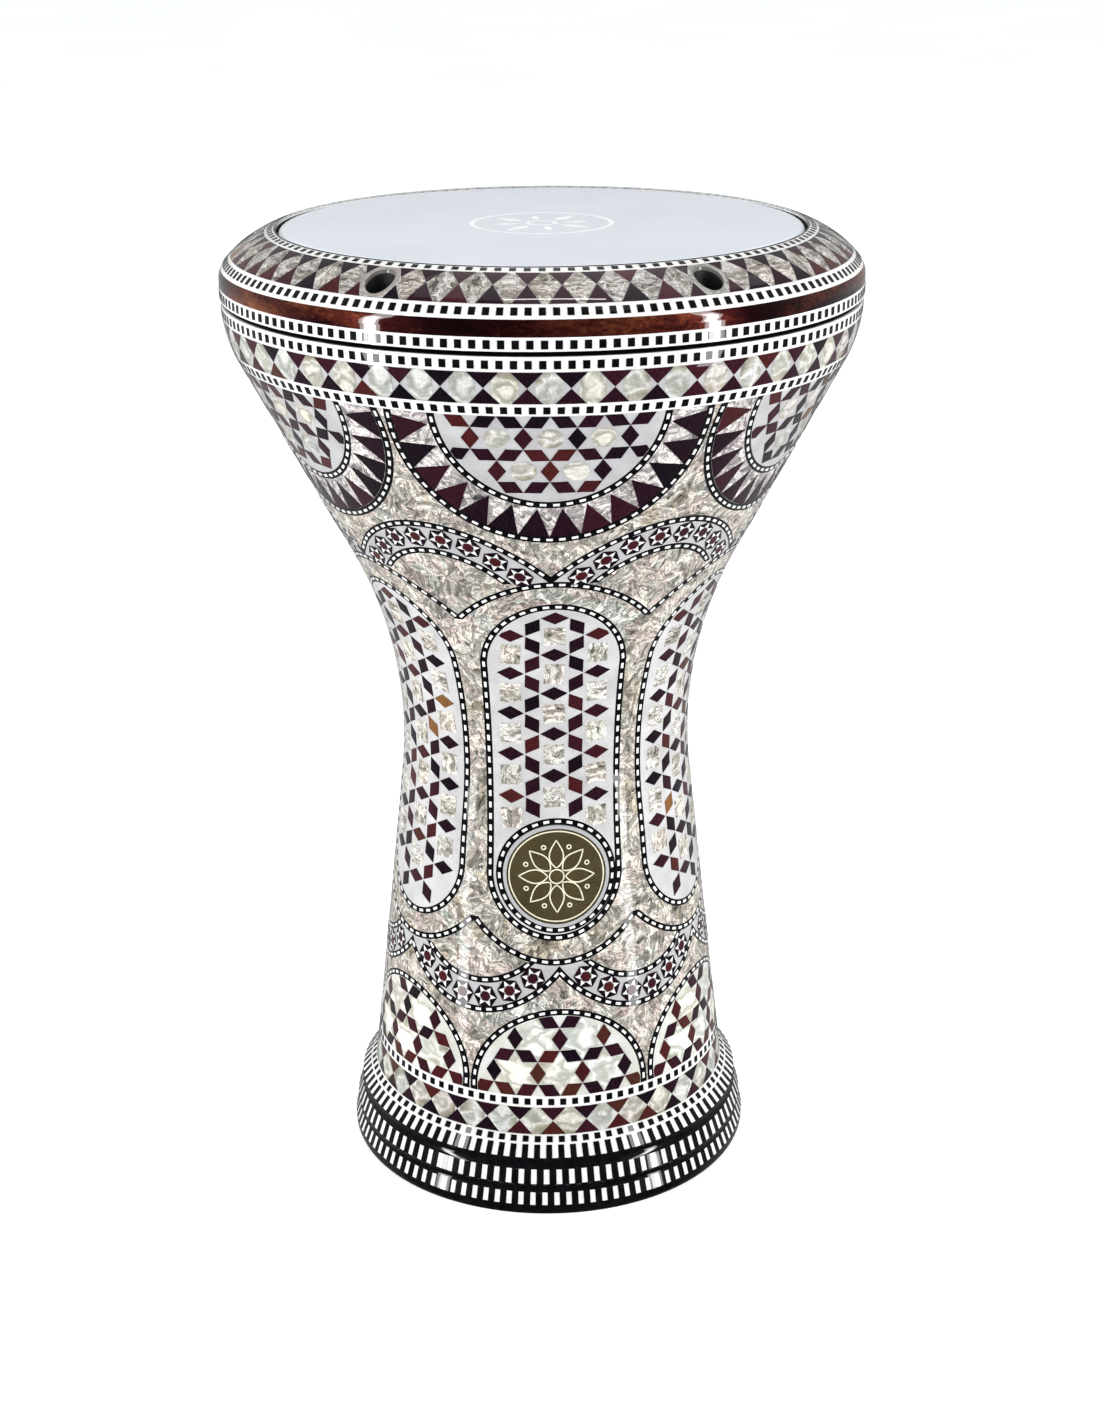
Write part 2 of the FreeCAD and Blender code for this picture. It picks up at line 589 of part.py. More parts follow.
def panel_cutters():
    """Every outline that is inlaid in the shell's surface, as a cutter from the axis."""
    cutters = {}

    def add(name, draw, turning, repeated=True):
        cutters[name] = prism("cutter_" + name, draw, turning, repeated)

    for name, height, radius, turning in (
            ("scallop", "Dims.scallop_height", "Dims.scallop_rad", "Dims.scallop_turn"),
            ("scallop_core", "Dims.scallop_height", "Dims.scallop_core", "Dims.scallop_turn"),
            ("dome", "Dims.dome_height", "Dims.dome_rad", "Dims.dome_turn")):
        add(name, disc(height, wide(radius)), turning)
        add(name + "_in", disc(height, narrow(radius)), turning)
    for name, foot, turning, upward in (
            ("arch", "Dims.arch_foot", "Dims.arch_turn", True),
            ("low_arch", "Dims.low_arch_foot", "Dims.low_arch_turn", False)):
        height, core_height = "Dims.%s_height" % name, "Dims.%s_core_height" % name
        radius, core = "Dims.%s_rad" % name, "Dims.%s_core" % name
        add(name, cap(height, wide(radius), foot, upward), turning)
        add(name + "_in", cap(height, narrow(radius), foot, upward), turning)
        add(name + "_core", cap(core_height, wide(core), foot, upward), turning)
        add(name + "_core_in", cap(core_height, narrow(core), foot, upward), turning)
    for name, upward in (("halo", True), ("low_halo", False)):
        height, radius, foot = ["Dims.%s_%s" % (name, word) for word in ("height", "rad", "foot")]
        add(name, cap(height, wide(radius), foot, upward), "Dims.panel_turn")
        add(name + "_in", cap(height, narrow(radius), foot, upward), "Dims.panel_turn")
    add("panel", neck_panel(wide), "Dims.panel_turn")
    add("panel_in", neck_panel(narrow), "Dims.panel_turn")
    for name in ("medal", "bezel", "border"):
        add(name, disc("Dims.medal_height", "Dims.%s_rad" % name), "Dims.medal_turn", False)
    return cutters


def make_bands(skin):
    """The level strips and bands, cut from the shell's skin by height."""
    heights = ["Dims.shoulder_top + 1", "Dims.shoulder_strip", "Dims.shoulder_band",
               "Dims.bowl_strip", "Dims.ankle_strip", "Dims.ankle_band",
               "Dims.skirt_height - 1"]
    names = ["shoulder_dotted_strip", "shoulder_diamond_band", "bowl_dotted_strip",
             "ornament_blank", "ankle_dotted_strip", "foot_diamond_band"]
    made = {}
    for name, high, low in zip(names, heights, heights[1:]):
        ring = zone(name + "_zone", "Dims.throat_rad / 2", "Dims.shoulder_rad + 5", low, high)
        made[name] = boolean("Common", name, skin, ring)
        if name != "ornament_blank":
            node(made[name])
    return made["ornament_blank"]


def make_panels(blank, cutters):
    """The inlaid panels, their stringing and the ground between them."""
    def inlaid(label, shape, holes):
        whole = boolean("Common", label + "_whole", blank, cutters[shape])
        node(less(label, whole, [cutters[hole] for hole in holes]), None)

    inlaid("scallop_stringing", "scallop", ["scallop_in"])
    inlaid("scallop_sunbursts", "scallop_in", ["scallop_core"])
    inlaid("scallop_core_stringing", "scallop_core", ["scallop_core_in"])
    inlaid("scallop_star_fields", "scallop_core_in", ["halo"])
    inlaid("arch_stringing", "arch", ["arch_in", "halo"])
    inlaid("arch_flower_fields", "arch_in", ["arch_core", "halo"])
    inlaid("arch_core_stringing", "arch_core", ["arch_core_in", "halo"])
    inlaid("halo_stringing", "halo", ["halo_in"])
    inlaid("neck_stringing", "panel", ["panel_in", "border"])
    inlaid("neck_star_fields", "panel_in", ["border"])
    inlaid("low_halo_stringing", "low_halo", ["low_halo_in"])
    inlaid("low_arch_stringing", "low_arch", ["low_arch_in", "low_halo"])
    inlaid("low_arch_flower_fields", "low_arch_in", ["low_arch_core", "low_halo"])
    inlaid("low_arch_core_stringing", "low_arch_core", ["low_arch_core_in", "low_halo"])
    inlaid("dome_stringing", "dome", ["dome_in"])
    inlaid("dome_star_fields", "dome_in", ["low_halo"])
    ground = less("ground_outside", blank, [cutters[name] for name in
                                            ("scallop", "dome", "panel", "border")])
    ground = less("ground_haloes", ground, [
        less("halo_ring", cutters["halo"], [cutters["halo_in"]]),
        less("low_halo_ring", cutters["low_halo"], [cutters["low_halo_in"]])])
    rims = []
    for name, halo in (("arch", "halo"), ("low_arch", "low_halo")):
        rim = less(name + "_rim", cutters[name], [cutters[name + "_core_in"]])
        rims.append(less(name + "_rim_clear", rim, [cutters[halo]]))
    node(less("pearl_ground", ground, rims), None)


def make_medallion(cutters):
    """Brass disc, raised bezel and dashed border, all following the curved wall."""
    def blank(label, rise):
        outer = goblet("(0 - %s)" % rise, "Dims.medal_height - 40")[-2:]
        inner = goblet("Dims.inlay", "Dims.medal_height - 40")[-2:]
        return revolved(label, [outer[0][:2], outer[1], inner[1], inner[0][:2]])

    node(boolean("Common", "medallion", blank("medal_blank", "Dims.medal_rise"),
                 cutters["medal"]))
    bezel = boolean("Common", "bezel_whole", blank("bezel_blank", "Dims.bezel_rise"),
                    cutters["bezel"])
    node(less("medallion_bezel", bezel, [cutters["medal"]]))
    border = boolean("Common", "border_whole", blank("border_blank", "0"), cutters["border"])
    node(less("medallion_border", border, [cutters["bezel"]]))


# ---- black foot ----
def make_foot():
    """Black stepped moulding, with three rows of bars and a dotted strip let into it."""
    skirt = goblet("0", "Dims.skirt_height")[-1]
    under_skirt = goblet("Dims.inlay", "Dims.skirt_height")[-1]
    bars_top = ("%s + (Dims.high_bars_foot - (%s)) * (Dims.skirt_height - Dims.high_bars_top)"
                " / (Dims.skirt_height - Dims.high_bars)" % (skirt[0], skirt[0]),
                "Dims.high_bars_top")

    def sunk(point):
        return (point[0] + " - Dims.inlay", point[1])

    def row(label, top, low, under_top=None):
        node(revolved(label, [low, sunk(low), under_top or sunk(top), top]))

    high = ("Dims.high_bars_foot", "Dims.high_bars")
    mid_top = ("Dims.mid_bars_rad", "Dims.mid_bars_top")
    mid = ("Dims.mid_bars_foot", "Dims.mid_bars")
    low_top = ("Dims.low_bars_rad", "Dims.low_bars_top")
    low = ("Dims.foot_rad", "Dims.low_bars")
    row("foot_dotted_strip", skirt, bars_top, under_skirt)
    row("foot_bars_upper", bars_top, high)
    row("foot_bars_middle", mid_top, mid)
    row("foot_bars_lower", low_top, low)
    steps = ["Dims.%s - Dims.tier_skin" % name
             for name in ("low_bars_rad", "mid_bars_rad", "high_bars_foot")]
    node(revolved("foot_moulding", [
        under_skirt, sunk(bars_top), sunk(high), high,
        mid_top + ("-Dims.groove_arc",), sunk(mid_top), sunk(mid), mid,
        low_top + ("-Dims.groove_arc",), sunk(low_top), sunk(low), low,
        ("Dims.foot_rad", "Dims.foot_bead"), ("Dims.foot_base", "0"),
        (steps[0], "0"), (steps[0], "Dims.low_bars_top"),
        (steps[1], "Dims.low_bars_top"), (steps[1], "Dims.mid_bars_top"),
        (steps[2], "Dims.mid_bars_top"), (steps[2], "Dims.high_bars")]))


def check_and_write():
    doc.recompute()
    faults = [thing.Name for thing in doc.Objects
              if "Invalid" in thing.State or "Error" in thing.State]
    if faults:
        raise RuntimeError("failed objects: %s" % faults)
    os.makedirs("parts", exist_ok=True)
    for thing, solids in NODES:
        shape = thing.Shape
        if shape.isNull() or not shape.isValid() or not shape.Solids:
            raise RuntimeError("bad shape: " + thing.Label)
        if solids is not None and len(shape.Solids) != solids:
            raise RuntimeError("%s has %d solids" % (thing.Label, len(shape.Solids)))
        shape.exportStep("parts/%s.step" % thing.Label)
        box = shape.BoundBox
        print("%-26s %2d solids %9.0f mm3  z %.1f to %.1f  r %.1f" % (
            thing.Label, len(shape.Solids), shape.Volume, box.ZMin, box.ZMax, box.XMax))


make_shell()
ring_of_tubes("thread_inserts", "Dims.insert_rad", "Dims.insert_bore",
              "Dims.shoulder_top - Dims.insert_length", "Dims.insert_length")
make_head()
make_ring()
ring_of_tubes("washers", "Dims.washer_rad", "Dims.washer_bore",
              "Dims.seat_height", "Dims.washer")
for screw in range(1, int(value("Dims.screws")) + 1):
    make_screw(screw)
make_foot()
shell_skin = revolved("shell_skin", goblet("0", "Dims.skirt_height")
                      + backwards(goblet("Dims.inlay", "Dims.skirt_height")))
CUTTERS = panel_cutters()
make_panels(make_bands(shell_skin), CUTTERS)
make_medallion(CUTTERS)
check_and_write()
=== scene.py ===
import math
import random

import bmesh
import bpy
import numpy as np
from mathutils import Matrix, Vector


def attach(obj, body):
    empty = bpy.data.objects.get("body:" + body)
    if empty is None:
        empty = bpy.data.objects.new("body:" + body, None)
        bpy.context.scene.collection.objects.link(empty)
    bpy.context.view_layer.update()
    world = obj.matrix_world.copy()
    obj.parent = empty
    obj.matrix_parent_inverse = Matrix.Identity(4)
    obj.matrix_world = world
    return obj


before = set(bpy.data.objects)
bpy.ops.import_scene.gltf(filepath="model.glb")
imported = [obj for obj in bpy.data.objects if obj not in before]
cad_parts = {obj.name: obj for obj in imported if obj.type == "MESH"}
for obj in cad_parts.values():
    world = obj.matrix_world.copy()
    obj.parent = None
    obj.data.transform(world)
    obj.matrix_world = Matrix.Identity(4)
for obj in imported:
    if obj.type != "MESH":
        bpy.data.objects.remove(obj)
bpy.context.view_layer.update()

# A darbuka with inlaid ornament. The CAD nodes give every surface; this script adds the
# inlay's tiles, dashes and bars as thin pieces let into them, and the finishes.
# Ornament is laid out in millimetres and degrees, and made in metres.

MM = 0.001
COPIES = 6
LIFT = 0.16        # how far a tile's face stands over its ground
SUNK = 0.5         # how far a tile goes into its ground
CUT_DEG = 2.5      # widest stretch of a tile left flat, round the drum
CUT_MM = 4.0       # and along the drum's outline
RNG = random.Random(20)


# ---- outlines that the ornament is laid on ----
class Track:
    """A turned surface, given by its outline; places on it are (degrees, mm along it)."""

    def __init__(self, points):
        self.r, self.z = np.array(points, float).T
        self.s = np.concatenate([[0], np.cumsum(np.hypot(np.diff(self.r), np.diff(self.z)))])
        dr, dz = np.gradient(self.r, self.s), np.gradient(self.z, self.s)
        size = np.hypot(dr, dz)
        self.nr, self.nz = dz / size, -dr / size

    def radius(self, s):
        return float(np.interp(s, self.s, self.r))

    def height(self, s):
        return float(np.interp(s, self.s, self.z))

    def along(self, z):
        return float(np.interp(z, self.z, self.s))

    def place(self, flat, lift):
        turn = np.radians(flat[:, 0])
        r, z, nr, nz = (np.interp(flat[:, 1], self.s, row)
                        for row in (self.r, self.z, self.nr, self.nz))
        normal = np.stack([nr * np.sin(turn), -nr * np.cos(turn), nz], 1)
        spot = np.stack([r * np.sin(turn), -r * np.cos(turn), z], 1)
        return spot + normal * lift, normal


class Disc:
    """A level surface; places on it are (x, y) in mm."""

    def __init__(self, height):
        self.z = height

    def place(self, flat, lift):
        normal = np.tile([0.0, 0.0, 1.0], (len(flat), 1))
        spot = np.column_stack([flat, np.full(len(flat), self.z)])
        return spot + normal * lift, normal


def arc_points(centre, radius, start, stop, steps=60):
    turns = np.radians(np.linspace(start, stop, steps))
    return [(centre[0] + radius * math.cos(t), centre[1] + radius * math.sin(t)) for t in turns]


SKIRT, SHOULDER = 34.8, 400.6


def shell_radius(z):
    if z < 184.15:
        return 66.27 + 0.11217 * (184.15 - z)
    if z < 291.37:
        return 252.15 - math.sqrt(187.05 ** 2 - (z - 205) ** 2)
    if z < 377.05:
        return 86.23 + (z - 291.37) * (130.84 - 86.23) / (377.05 - 291.37)
    return 85.6 + math.sqrt(51 ** 2 - (z - SHOULDER) ** 2)


SHELL = Track([(shell_radius(z), z) for z in np.arange(SKIRT, SHOULDER + 0.01, 0.2)])
RING = Track([(137, z) for z in np.arange(402.7, 410.4, 0.5)]
             + arc_points((129, 410.5), 8, 0, 40) + arc_points((101.19, 387.17), 44.3, 40.3, 75.2, 120))
HIGH_TIER = Track([(89.9, 26.9), (87.94, 29.15), (85.98, 31.4)])
SKIRT_STRIP = Track([(85.98, 31.4), (84.5, 33.1), (83.02, 34.8)])
MID_TIER = Track([(92.5, 14.9), (91.35, 17.95), (90.2, 21.0)])
LOW_TIER = Track([(94.0, 4.9), (93.0, 7.55), (92.0, 10.2)])


# ---- flat shapes ----
def turned(points, angle):
    c, s = math.cos(math.radians(angle)), math.sin(math.radians(angle))
    return [(x * c - y * s, x * s + y * c) for x, y in points]


def moved(points, dx, dy):
    return [(x + dx, y + dy) for x, y in points]


def polygon(sides, radius, start=0.0):
    return [(radius * math.cos(math.radians(start + 360 * k / sides)),
             radius * math.sin(math.radians(start + 360 * k / sides))) for k in range(sides)]


def star(points, outer, inner, start=0.0):
    out = []
    for k in range(points):
        for radius, turn in ((outer, 0), (inner, 180 / points)):
            a = math.radians(start + 360 * k / points + turn)
            out.append((radius * math.cos(a), radius * math.sin(a)))
    return out


def box(half_width, low, high):
    return [(-half_width, low), (half_width, low), (half_width, high), (-half_width, high)]


def area(points):
    return 0.5 * abs(sum(a[0] * b[1] - b[0] * a[1] for a, b in zip(points, points[1:] + points[:1])))


def cut(points, co, no):
    """The part of an outline on the side of the line at co that no points away from."""
    out = []
    side = [(p[0] - co[0]) * no[0] + (p[1] - co[1]) * no[1] for p in points]
    for k, (p, d) in enumerate(zip(points, side)):
        q, e = points[(k + 1) % len(points)], side[(k + 1) % len(points)]
        if d <= 0:
            out.append(p)
        if (d < 0 < e) or (e < 0 < d):
            t = d / (d - e)
            out.append((p[0] + (q[0] - p[0]) * t, p[1] + (q[1] - p[1]) * t))
    return out


def within(points, field):
    """The part of an outline inside a convex field, whose corners run anticlockwise."""
    for a, b in zip(field, field[1:] + field[:1]):
        if len(points) < 3:
            return []
        points = cut(points, a, (b[1] - a[1], a[0] - b[0]))
    return points


# ---- panel coordinates: mm across and height, as the panel is seen from its front ----
def wrap(points, turn):
    out = []
    for x, z in points:
        s = SHELL.along(z)
        out.append((turn + math.degrees(math.asin(max(-1, min(1, x / SHELL.radius(s))))), s))
    return out


def unrolled(u, s):
    """A place u mm round the surface from the panel's middle and s mm along it."""
    r = SHELL.radius(s)
    return r * math.sin(u / r), SHELL.height(s)


def in_circle(deg, s, turn, height, radius):
    """Whether a place on the shell is inside any of the six circles of a row."""
    off = (deg - turn + 180 / COPIES) % (360 / COPIES) - 180 / COPIES
    x, z = SHELL.radius(s) * math.sin(math.radians(off)), SHELL.height(s)
    return x * x + (z - height) ** 2 < radius * radius


# ---- pieces ----
def piece(name, body, material, surface, shapes, lift=LIFT, sunk=SUNK, weld=False,
          cuts=(CUT_DEG, CUT_MM)):
    """One object of thin closed tiles. A shape is (outline, tone)."""
    flat = bmesh.new()
    tone_of = flat.faces.layers.float.new("tone")
    mid_x, mid_y = flat.faces.layers.float.new("x"), flat.faces.layers.float.new("y")
    for outline, tone in shapes:
        face = flat.faces.new([flat.verts.new((x, y, 0)) for x, y in outline])
        face[tone_of] = tone
        face[mid_x] = sum(p[0] for p in outline) / len(outline)
        face[mid_y] = sum(p[1] for p in outline) / len(outline)
        if face.calc_area() and face.normal.z < 0:
            face.normal_flip()
    flat.normal_update()
    for face in flat.faces:
        if face.normal.z < 0:
            face.normal_flip()
    if weld:
        bmesh.ops.remove_doubles(flat, verts=flat.verts[:], dist=1e-4)
    if cuts:
        for axis, step in enumerate(cuts):
            places = [v.co[axis] for v in flat.verts]
            first, last = math.floor(min(places) / step) + 1, math.ceil(max(places) / step)
            for k in range(first, last):
                co, no = [0.0, 0.0, 0.0], [0.0, 0.0, 0.0]
                co[axis], no[axis] = k * step, 1.0
                near = [f for f in flat.faces
                        if min(v.co[axis] for v in f.verts) < k * step < max(v.co[axis] for v in f.verts)]
                if near:
                    geom = set(near)
                    for f in near:
                        geom.update(f.edges)
                        geom.update(f.verts)
                    bmesh.ops.bisect_plane(flat, geom=list(geom), dist=1e-5, plane_co=co, plane_no=no)
    bmesh.ops.triangulate(flat, faces=flat.faces[:])
    flat.verts.index_update()
    xy = np.array([v.co[:2] for v in flat.verts], float)
    local = np.zeros((len(xy), 3), np.float32)
    for f in flat.faces:
        for v in f.verts:
            scale = 1.0 if isinstance(surface, Disc) else surface.radius(f[mid_y]) * math.pi / 180
            local[v.index] = ((v.co.x - f[mid_x]) * scale, v.co.y - f[mid_y], f[tone_of])
    top = [tuple(v.index for v in f.verts) for f in flat.faces]
    rim = []
    for e in flat.edges:
        if len(e.link_loops) == 1:
            loop = e.link_loops[0]
            rim.append((loop.vert.index, loop.link_loop_next.vert.index))
    flat.free()
    count = len(xy)
    high, normal = surface.place(xy, lift)
    low, _ = surface.place(xy, -sunk)
    faces = top + [tuple(i + count for i in reversed(f)) for f in top]
    faces += [(b, a, a + count, b + count) for a, b in rim]
    mesh = bpy.data.meshes.new(name)
    mesh.from_pydata((np.vstack([high, low]) * MM).tolist(), [], faces)
    tiles = mesh.attributes.new("inlay", "FLOAT_VECTOR", "POINT")
    tiles.data.foreach_set("vector", np.vstack([local, local]).ravel())
    mesh.polygons.foreach_set("use_smooth", [True] * len(mesh.polygons))
    mesh.normals_split_custom_set_from_vertices(np.vstack([normal, -normal]).tolist())
    mesh.materials.append(material)
    obj = bpy.data.objects.new(name, mesh)
    bpy.context.scene.collection.objects.link(obj)
    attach(obj, body)
    return obj


def tone():
    return RNG.random()


def around(count, outline, start=0.0):
    return [(moved(outline, start + 360 * k / count, 0), tone()) for k in range(count)]


def ribbon(path, width, closed=True):
    """Quads along a path, to be welded."""
    left, right = [], []
    n = len(path)
    for k in range(n):
        a = path[(k - 1) % n] if closed or k else path[k]
        b = path[(k + 1) % n] if closed or k < n - 1 else path[k]
        dx, dy = b[0] - a[0], b[1] - a[1]
        size = math.hypot(dx, dy)
        ox, oy = -dy / size * width / 2, dx / size * width / 2
        left.append((path[k][0] + ox, path[k][1] + oy))
        right.append((path[k][0] - ox, path[k][1] - oy))
    stop = n if closed else n - 1
    return [([left[k], right[k], right[(k + 1) % n], left[(k + 1) % n]], 0.5) for k in range(stop)]


# ---- materials ----
class Graph:
    """A material built round one Principled shader."""

    def __init__(self, name, **sockets):
        self.material = bpy.data.materials.new(name)
        self.material.use_nodes = True
        self.nodes, self.links = self.material.node_tree.nodes, self.material.node_tree.links
        self.shader = next(n for n in self.nodes if n.type == "BSDF_PRINCIPLED")
        for key, number in sockets.items():
            self.shader.inputs[key.replace("_", " ")].default_value = number
        self.object = self.nodes.new("ShaderNodeTexCoord").outputs["Object"]

    def add(self, kind, inputs=(), **settings):
        made = self.nodes.new("ShaderNode" + kind)
        for key, number in settings.items():
            setattr(made, key, number)
        for key, source in dict(inputs).items():
            if isinstance(source, bpy.types.NodeSocket):
                self.links.new(source, made.inputs[key])
            else:
                made.inputs[key].default_value = source
        return made

    def tile(self):
        """Place within the tile in mm, as a vector whose z is the tile's tone, and the tone."""
        spot = self.add("Attribute", attribute_name="inlay").outputs["Vector"]
        return spot, self.add("SeparateXYZ", {0: spot}).outputs["Z"]

    def scaled(self, vector, scale, turn=(0.0, 0.0, 0.0)):
        return self.add("Mapping", {"Vector": vector, "Scale": scale, "Rotation": turn}).outputs[0]

    def noise(self, vector, scale, detail=3.0, rough=0.5, distortion=0.0, out="Fac"):
        return self.add("TexNoise", {"Vector": vector, "Scale": scale, "Detail": detail,
                                     "Roughness": rough, "Distortion": distortion}).outputs[out]

    def cells(self, vector, scale, feature="F1", out="Color", randomness=1.0):
        return self.add("TexVoronoi", {"Vector": vector, "Scale": scale, "Randomness": randomness},
                        feature=feature).outputs[out]

    def math(self, operation, a, b=0.0, clamp=False):
        return self.add("Math", {0: a, 1: b}, operation=operation, use_clamp=clamp).outputs[0]

    def shift(self, vector, amount, push):
        """The vector moved by a coloured noise, for wavy edges."""
        scaled = self.add("VectorMath", {0: push, 1: (amount, amount, amount)}, operation="MULTIPLY")
        return self.add("VectorMath", {0: vector, 1: scaled.outputs[0]}, operation="ADD").outputs[0]

    def ramp(self, factor, stops, mode="LINEAR"):
        made = self.add("ValToRGB", {"Fac": factor})
        made.color_ramp.interpolation = mode
        while len(made.color_ramp.elements) < len(stops):
            made.color_ramp.elements.new(0.5)
        for element, (place, colour) in zip(made.color_ramp.elements, stops):
            element.position = place
            element.color = (*colour, 1) if len(colour) == 3 else colour
        return made.outputs[0]

    def mix(self, factor, a, b, blend="MIX"):
        made = self.add("Mix", data_type="RGBA", blend_type=blend)
        for key, source in ((0, factor), (6, a), (7, b)):
            if isinstance(source, bpy.types.NodeSocket):
                self.links.new(source, made.inputs[key])
            else:
                made.inputs[key].default_value = (*source, 1) if key else source
        return made.outputs[2]

    def finish(self, colour=None, rough=None, bump=None, depth=0.1, distance=MM):
        for source, key in ((colour, "Base Color"), (rough, "Roughness")):
            if source is not None:
                self.links.new(source, self.shader.inputs[key])
        if bump is not None:
            made = self.add("Bump", {"Height": bump, "Strength": depth, "Distance": distance})
            self.links.new(made.outputs[0], self.shader.inputs["Normal"])
        return self.material


def grey(number):
    return (number, number, number)


LACQUER = {"Coat_Weight": 0.9, "Coat_Roughness": 0.03, "Specular_IOR_Level": 0.05}


def black_resin(name):
    g = Graph(name, **LACQUER)
    cloud = g.noise(g.object, 240, 4)
    return g.finish(g.ramp(cloud, [(0.3, (0.0015, 0.0015, 0.0022)), (0.7, (0.006, 0.0055, 0.0075))]),
                    g.ramp(cloud, [(0.3, grey(0.28)), (0.7, grey(0.42))]),
                    g.noise(g.object, 900, 2), 0.03)


def bone(name):
    g = Graph(name, **LACQUER)
    cloud = g.noise(g.object, 160, 4)
    fibre = g.noise(g.scaled(g.object, (1, 1, 0.25)), 1800, 2)
    colour = g.mix(0.25, g.ramp(cloud, [(0.3, (0.78, 0.77, 0.74)), (0.7, (0.90, 0.90, 0.89))]),
                   g.ramp(fibre, [(0.35, grey(0.62)), (0.55, grey(1.0))]), "MULTIPLY")
    return g.finish(colour, g.ramp(cloud, [(0.3, grey(0.3)), (0.7, grey(0.45))]), fibre, 0.03)


def ground_white(name, warm, level):
    """The pale paste between the tiles of a star field, cloudy, with fine specks."""
    g = Graph(name, **LACQUER)
    cloud = g.noise(g.object, 70, 5, 0.6)
    specks = g.noise(g.object, 1500, 2)
    colour = g.ramp(cloud, [(0.3, (0.58, 0.565 + warm * 0.01, 0.575 - warm * 0.05)),
                            (0.5, (0.68, 0.665 + warm * 0.01, 0.675 - warm * 0.05)),
                            (0.7, (0.78, 0.77, 0.78))])
    colour = g.mix(1.0, colour, grey(level), "MULTIPLY")
    colour = g.mix(0.3, colour, g.ramp(specks, [(0.35, grey(0.7)), (0.6, grey(1.0))]), "MULTIPLY")
    return g.finish(colour, g.ramp(cloud, [(0.3, grey(0.3)), (0.7, grey(0.45))]), specks, 0.03)


def plum_wood(name, light):
    """Stained wood tiles, mostly near-black plum, a few red-brown or tan; light shifts the mix."""
    g = Graph(name, **LACQUER)
    spot, pick = g.tile()
    grain = g.noise(g.scaled(spot, (3.0, 0.35, 40.0), (0, 0, 0.5)), 1.6, 4, 0.6, 0.4)
    stops = [(0.0, (0.006, 0.003, 0.007)), (0.40 - light, (0.017, 0.004, 0.010)),
             (0.70 - light, (0.034, 0.006, 0.012)), (0.90 - light, (0.062, 0.009, 0.009)),
             (0.965, (0.060, 0.020, 0.012)), (0.985, (0.10, 0.042, 0.018)), (1.0, (0.25, 0.11, 0.033))]
    shade = g.ramp(grain, [(0.3, grey(0.45)), (0.5, grey(1.0)), (0.75, grey(1.9))])
    colour = g.mix(1.0, g.ramp(pick, stops), shade, "MULTIPLY")
    return g.finish(colour, g.ramp(grain, [(0.3, grey(0.25)), (0.7, grey(0.45))]), grain, 0.05)


def pearl(name, size, vein, level=1.0, grey_share=0.0):
    """Mother of pearl: one soft painted sheen in each tile, bright near its middle, cream and grey-green
    towards its edges, with painted glints in its veins.
    """
    g = Graph(name, **LACQUER)
    spot, pick = g.tile()
    flat = g.add("VectorMath", {0: spot, 1: (1.0, 1.0, 0.0)}, operation="MULTIPLY").outputs[0]
    offset = g.noise(g.scaled(spot, (0.0, 0.0, 60.0)), 1.0, 1, 0.5, 0.0, "Color")
    centred = g.add("VectorMath", {0: offset, 1: (0.5, 0.5, 0.5)}, operation="SUBTRACT").outputs[0]
    leaning = g.add("VectorMath", {0: centred, 1: (size * 2, size * 2, 0.0)}, operation="MULTIPLY").outputs[0]
    away = g.add("VectorMath", {0: flat, 1: leaning}, operation="SUBTRACT").outputs[0]
    far = g.math("DIVIDE", g.add("VectorMath", {0: away}, operation="LENGTH").outputs["Value"], size)
    bend = g.noise(g.scaled(spot, (0.2, 0.2, 30.0)), 1.0, 2, 0.5, 0.0, "Color")
    flow = g.noise(g.shift(g.scaled(spot, (0.05, 0.10, 17.0)), 0.5, bend), 1.0, 1, 0.5, 0.2)
    # painted sheen: the flow noise less the distance from a spot near the middle, so each tile is painted
    # bright there and darker at its edges
    painted_sheen = g.math("SUBTRACT", g.math("MULTIPLY", flow, 1.9), g.math("MULTIPLY", far, 0.34))
    colour = g.ramp(painted_sheen, [(0.10, (0.24, 0.23, 0.19)), (0.30, (0.40, 0.39, 0.32)), (0.44, (0.60, 0.58, 0.50)),
                           (0.56, (0.95, 0.95, 0.93)), (0.68, (0.60, 0.61, 0.56)), (0.80, (0.50, 0.50, 0.45)),
                           (0.95, (0.95, 0.94, 0.90))])
    tint = g.ramp(pick, [(0.0, (0.95, 0.98, 0.98)), (0.3, (1.0, 1.0, 1.0)), (0.6, (1.0, 0.97, 0.88)),
                         (0.8, (1.0, 0.94, 0.94)), (1.0, (0.94, 1.0, 0.93))])
    colour = g.mix(1.0, colour, tint, "MULTIPLY")
    colour = g.mix(grey_share, colour, (0.50, 0.475, 0.475))
    across = g.math("GREATER_THAN", g.math("FRACT", g.math("MULTIPLY", pick, 7.0)), 0.5)
    lines = g.mix(across, (0.11, 0.36, 50.0), (0.36, 0.11, 50.0))
    grain = g.add("VectorMath", {0: spot, 1: lines}, operation="MULTIPLY").outputs[0]
    fine = g.noise(g.shift(grain, 1.8, bend), 1.0, 3, 0.62, 1.1)
    # the nacre's own veins, dark and light, with steps above 1 that paint bright glints on them
    veins_and_glints = g.ramp(fine, [(0.37, (0.16, 0.14, 0.12)), (0.42, (0.85, 0.81, 0.75)),
                           (0.455, (0.25, 0.21, 0.18)), (0.485, (0.95, 0.90, 0.84)),
                           (0.51, (0.50, 0.45, 0.40)), (0.535, (2.1, 2.08, 2.04)),
                           (0.57, (0.40, 0.37, 0.36)), (0.63, (1.5, 1.48, 1.46))])
    colour = g.mix(vein, colour, veins_and_glints, "MULTIPLY")
    colour = g.mix(1.0, colour, grey(level), "MULTIPLY")
    return g.finish(colour, g.ramp(flow, [(0.3, grey(0.2)), (0.7, grey(0.4))]), flow, 0.06)


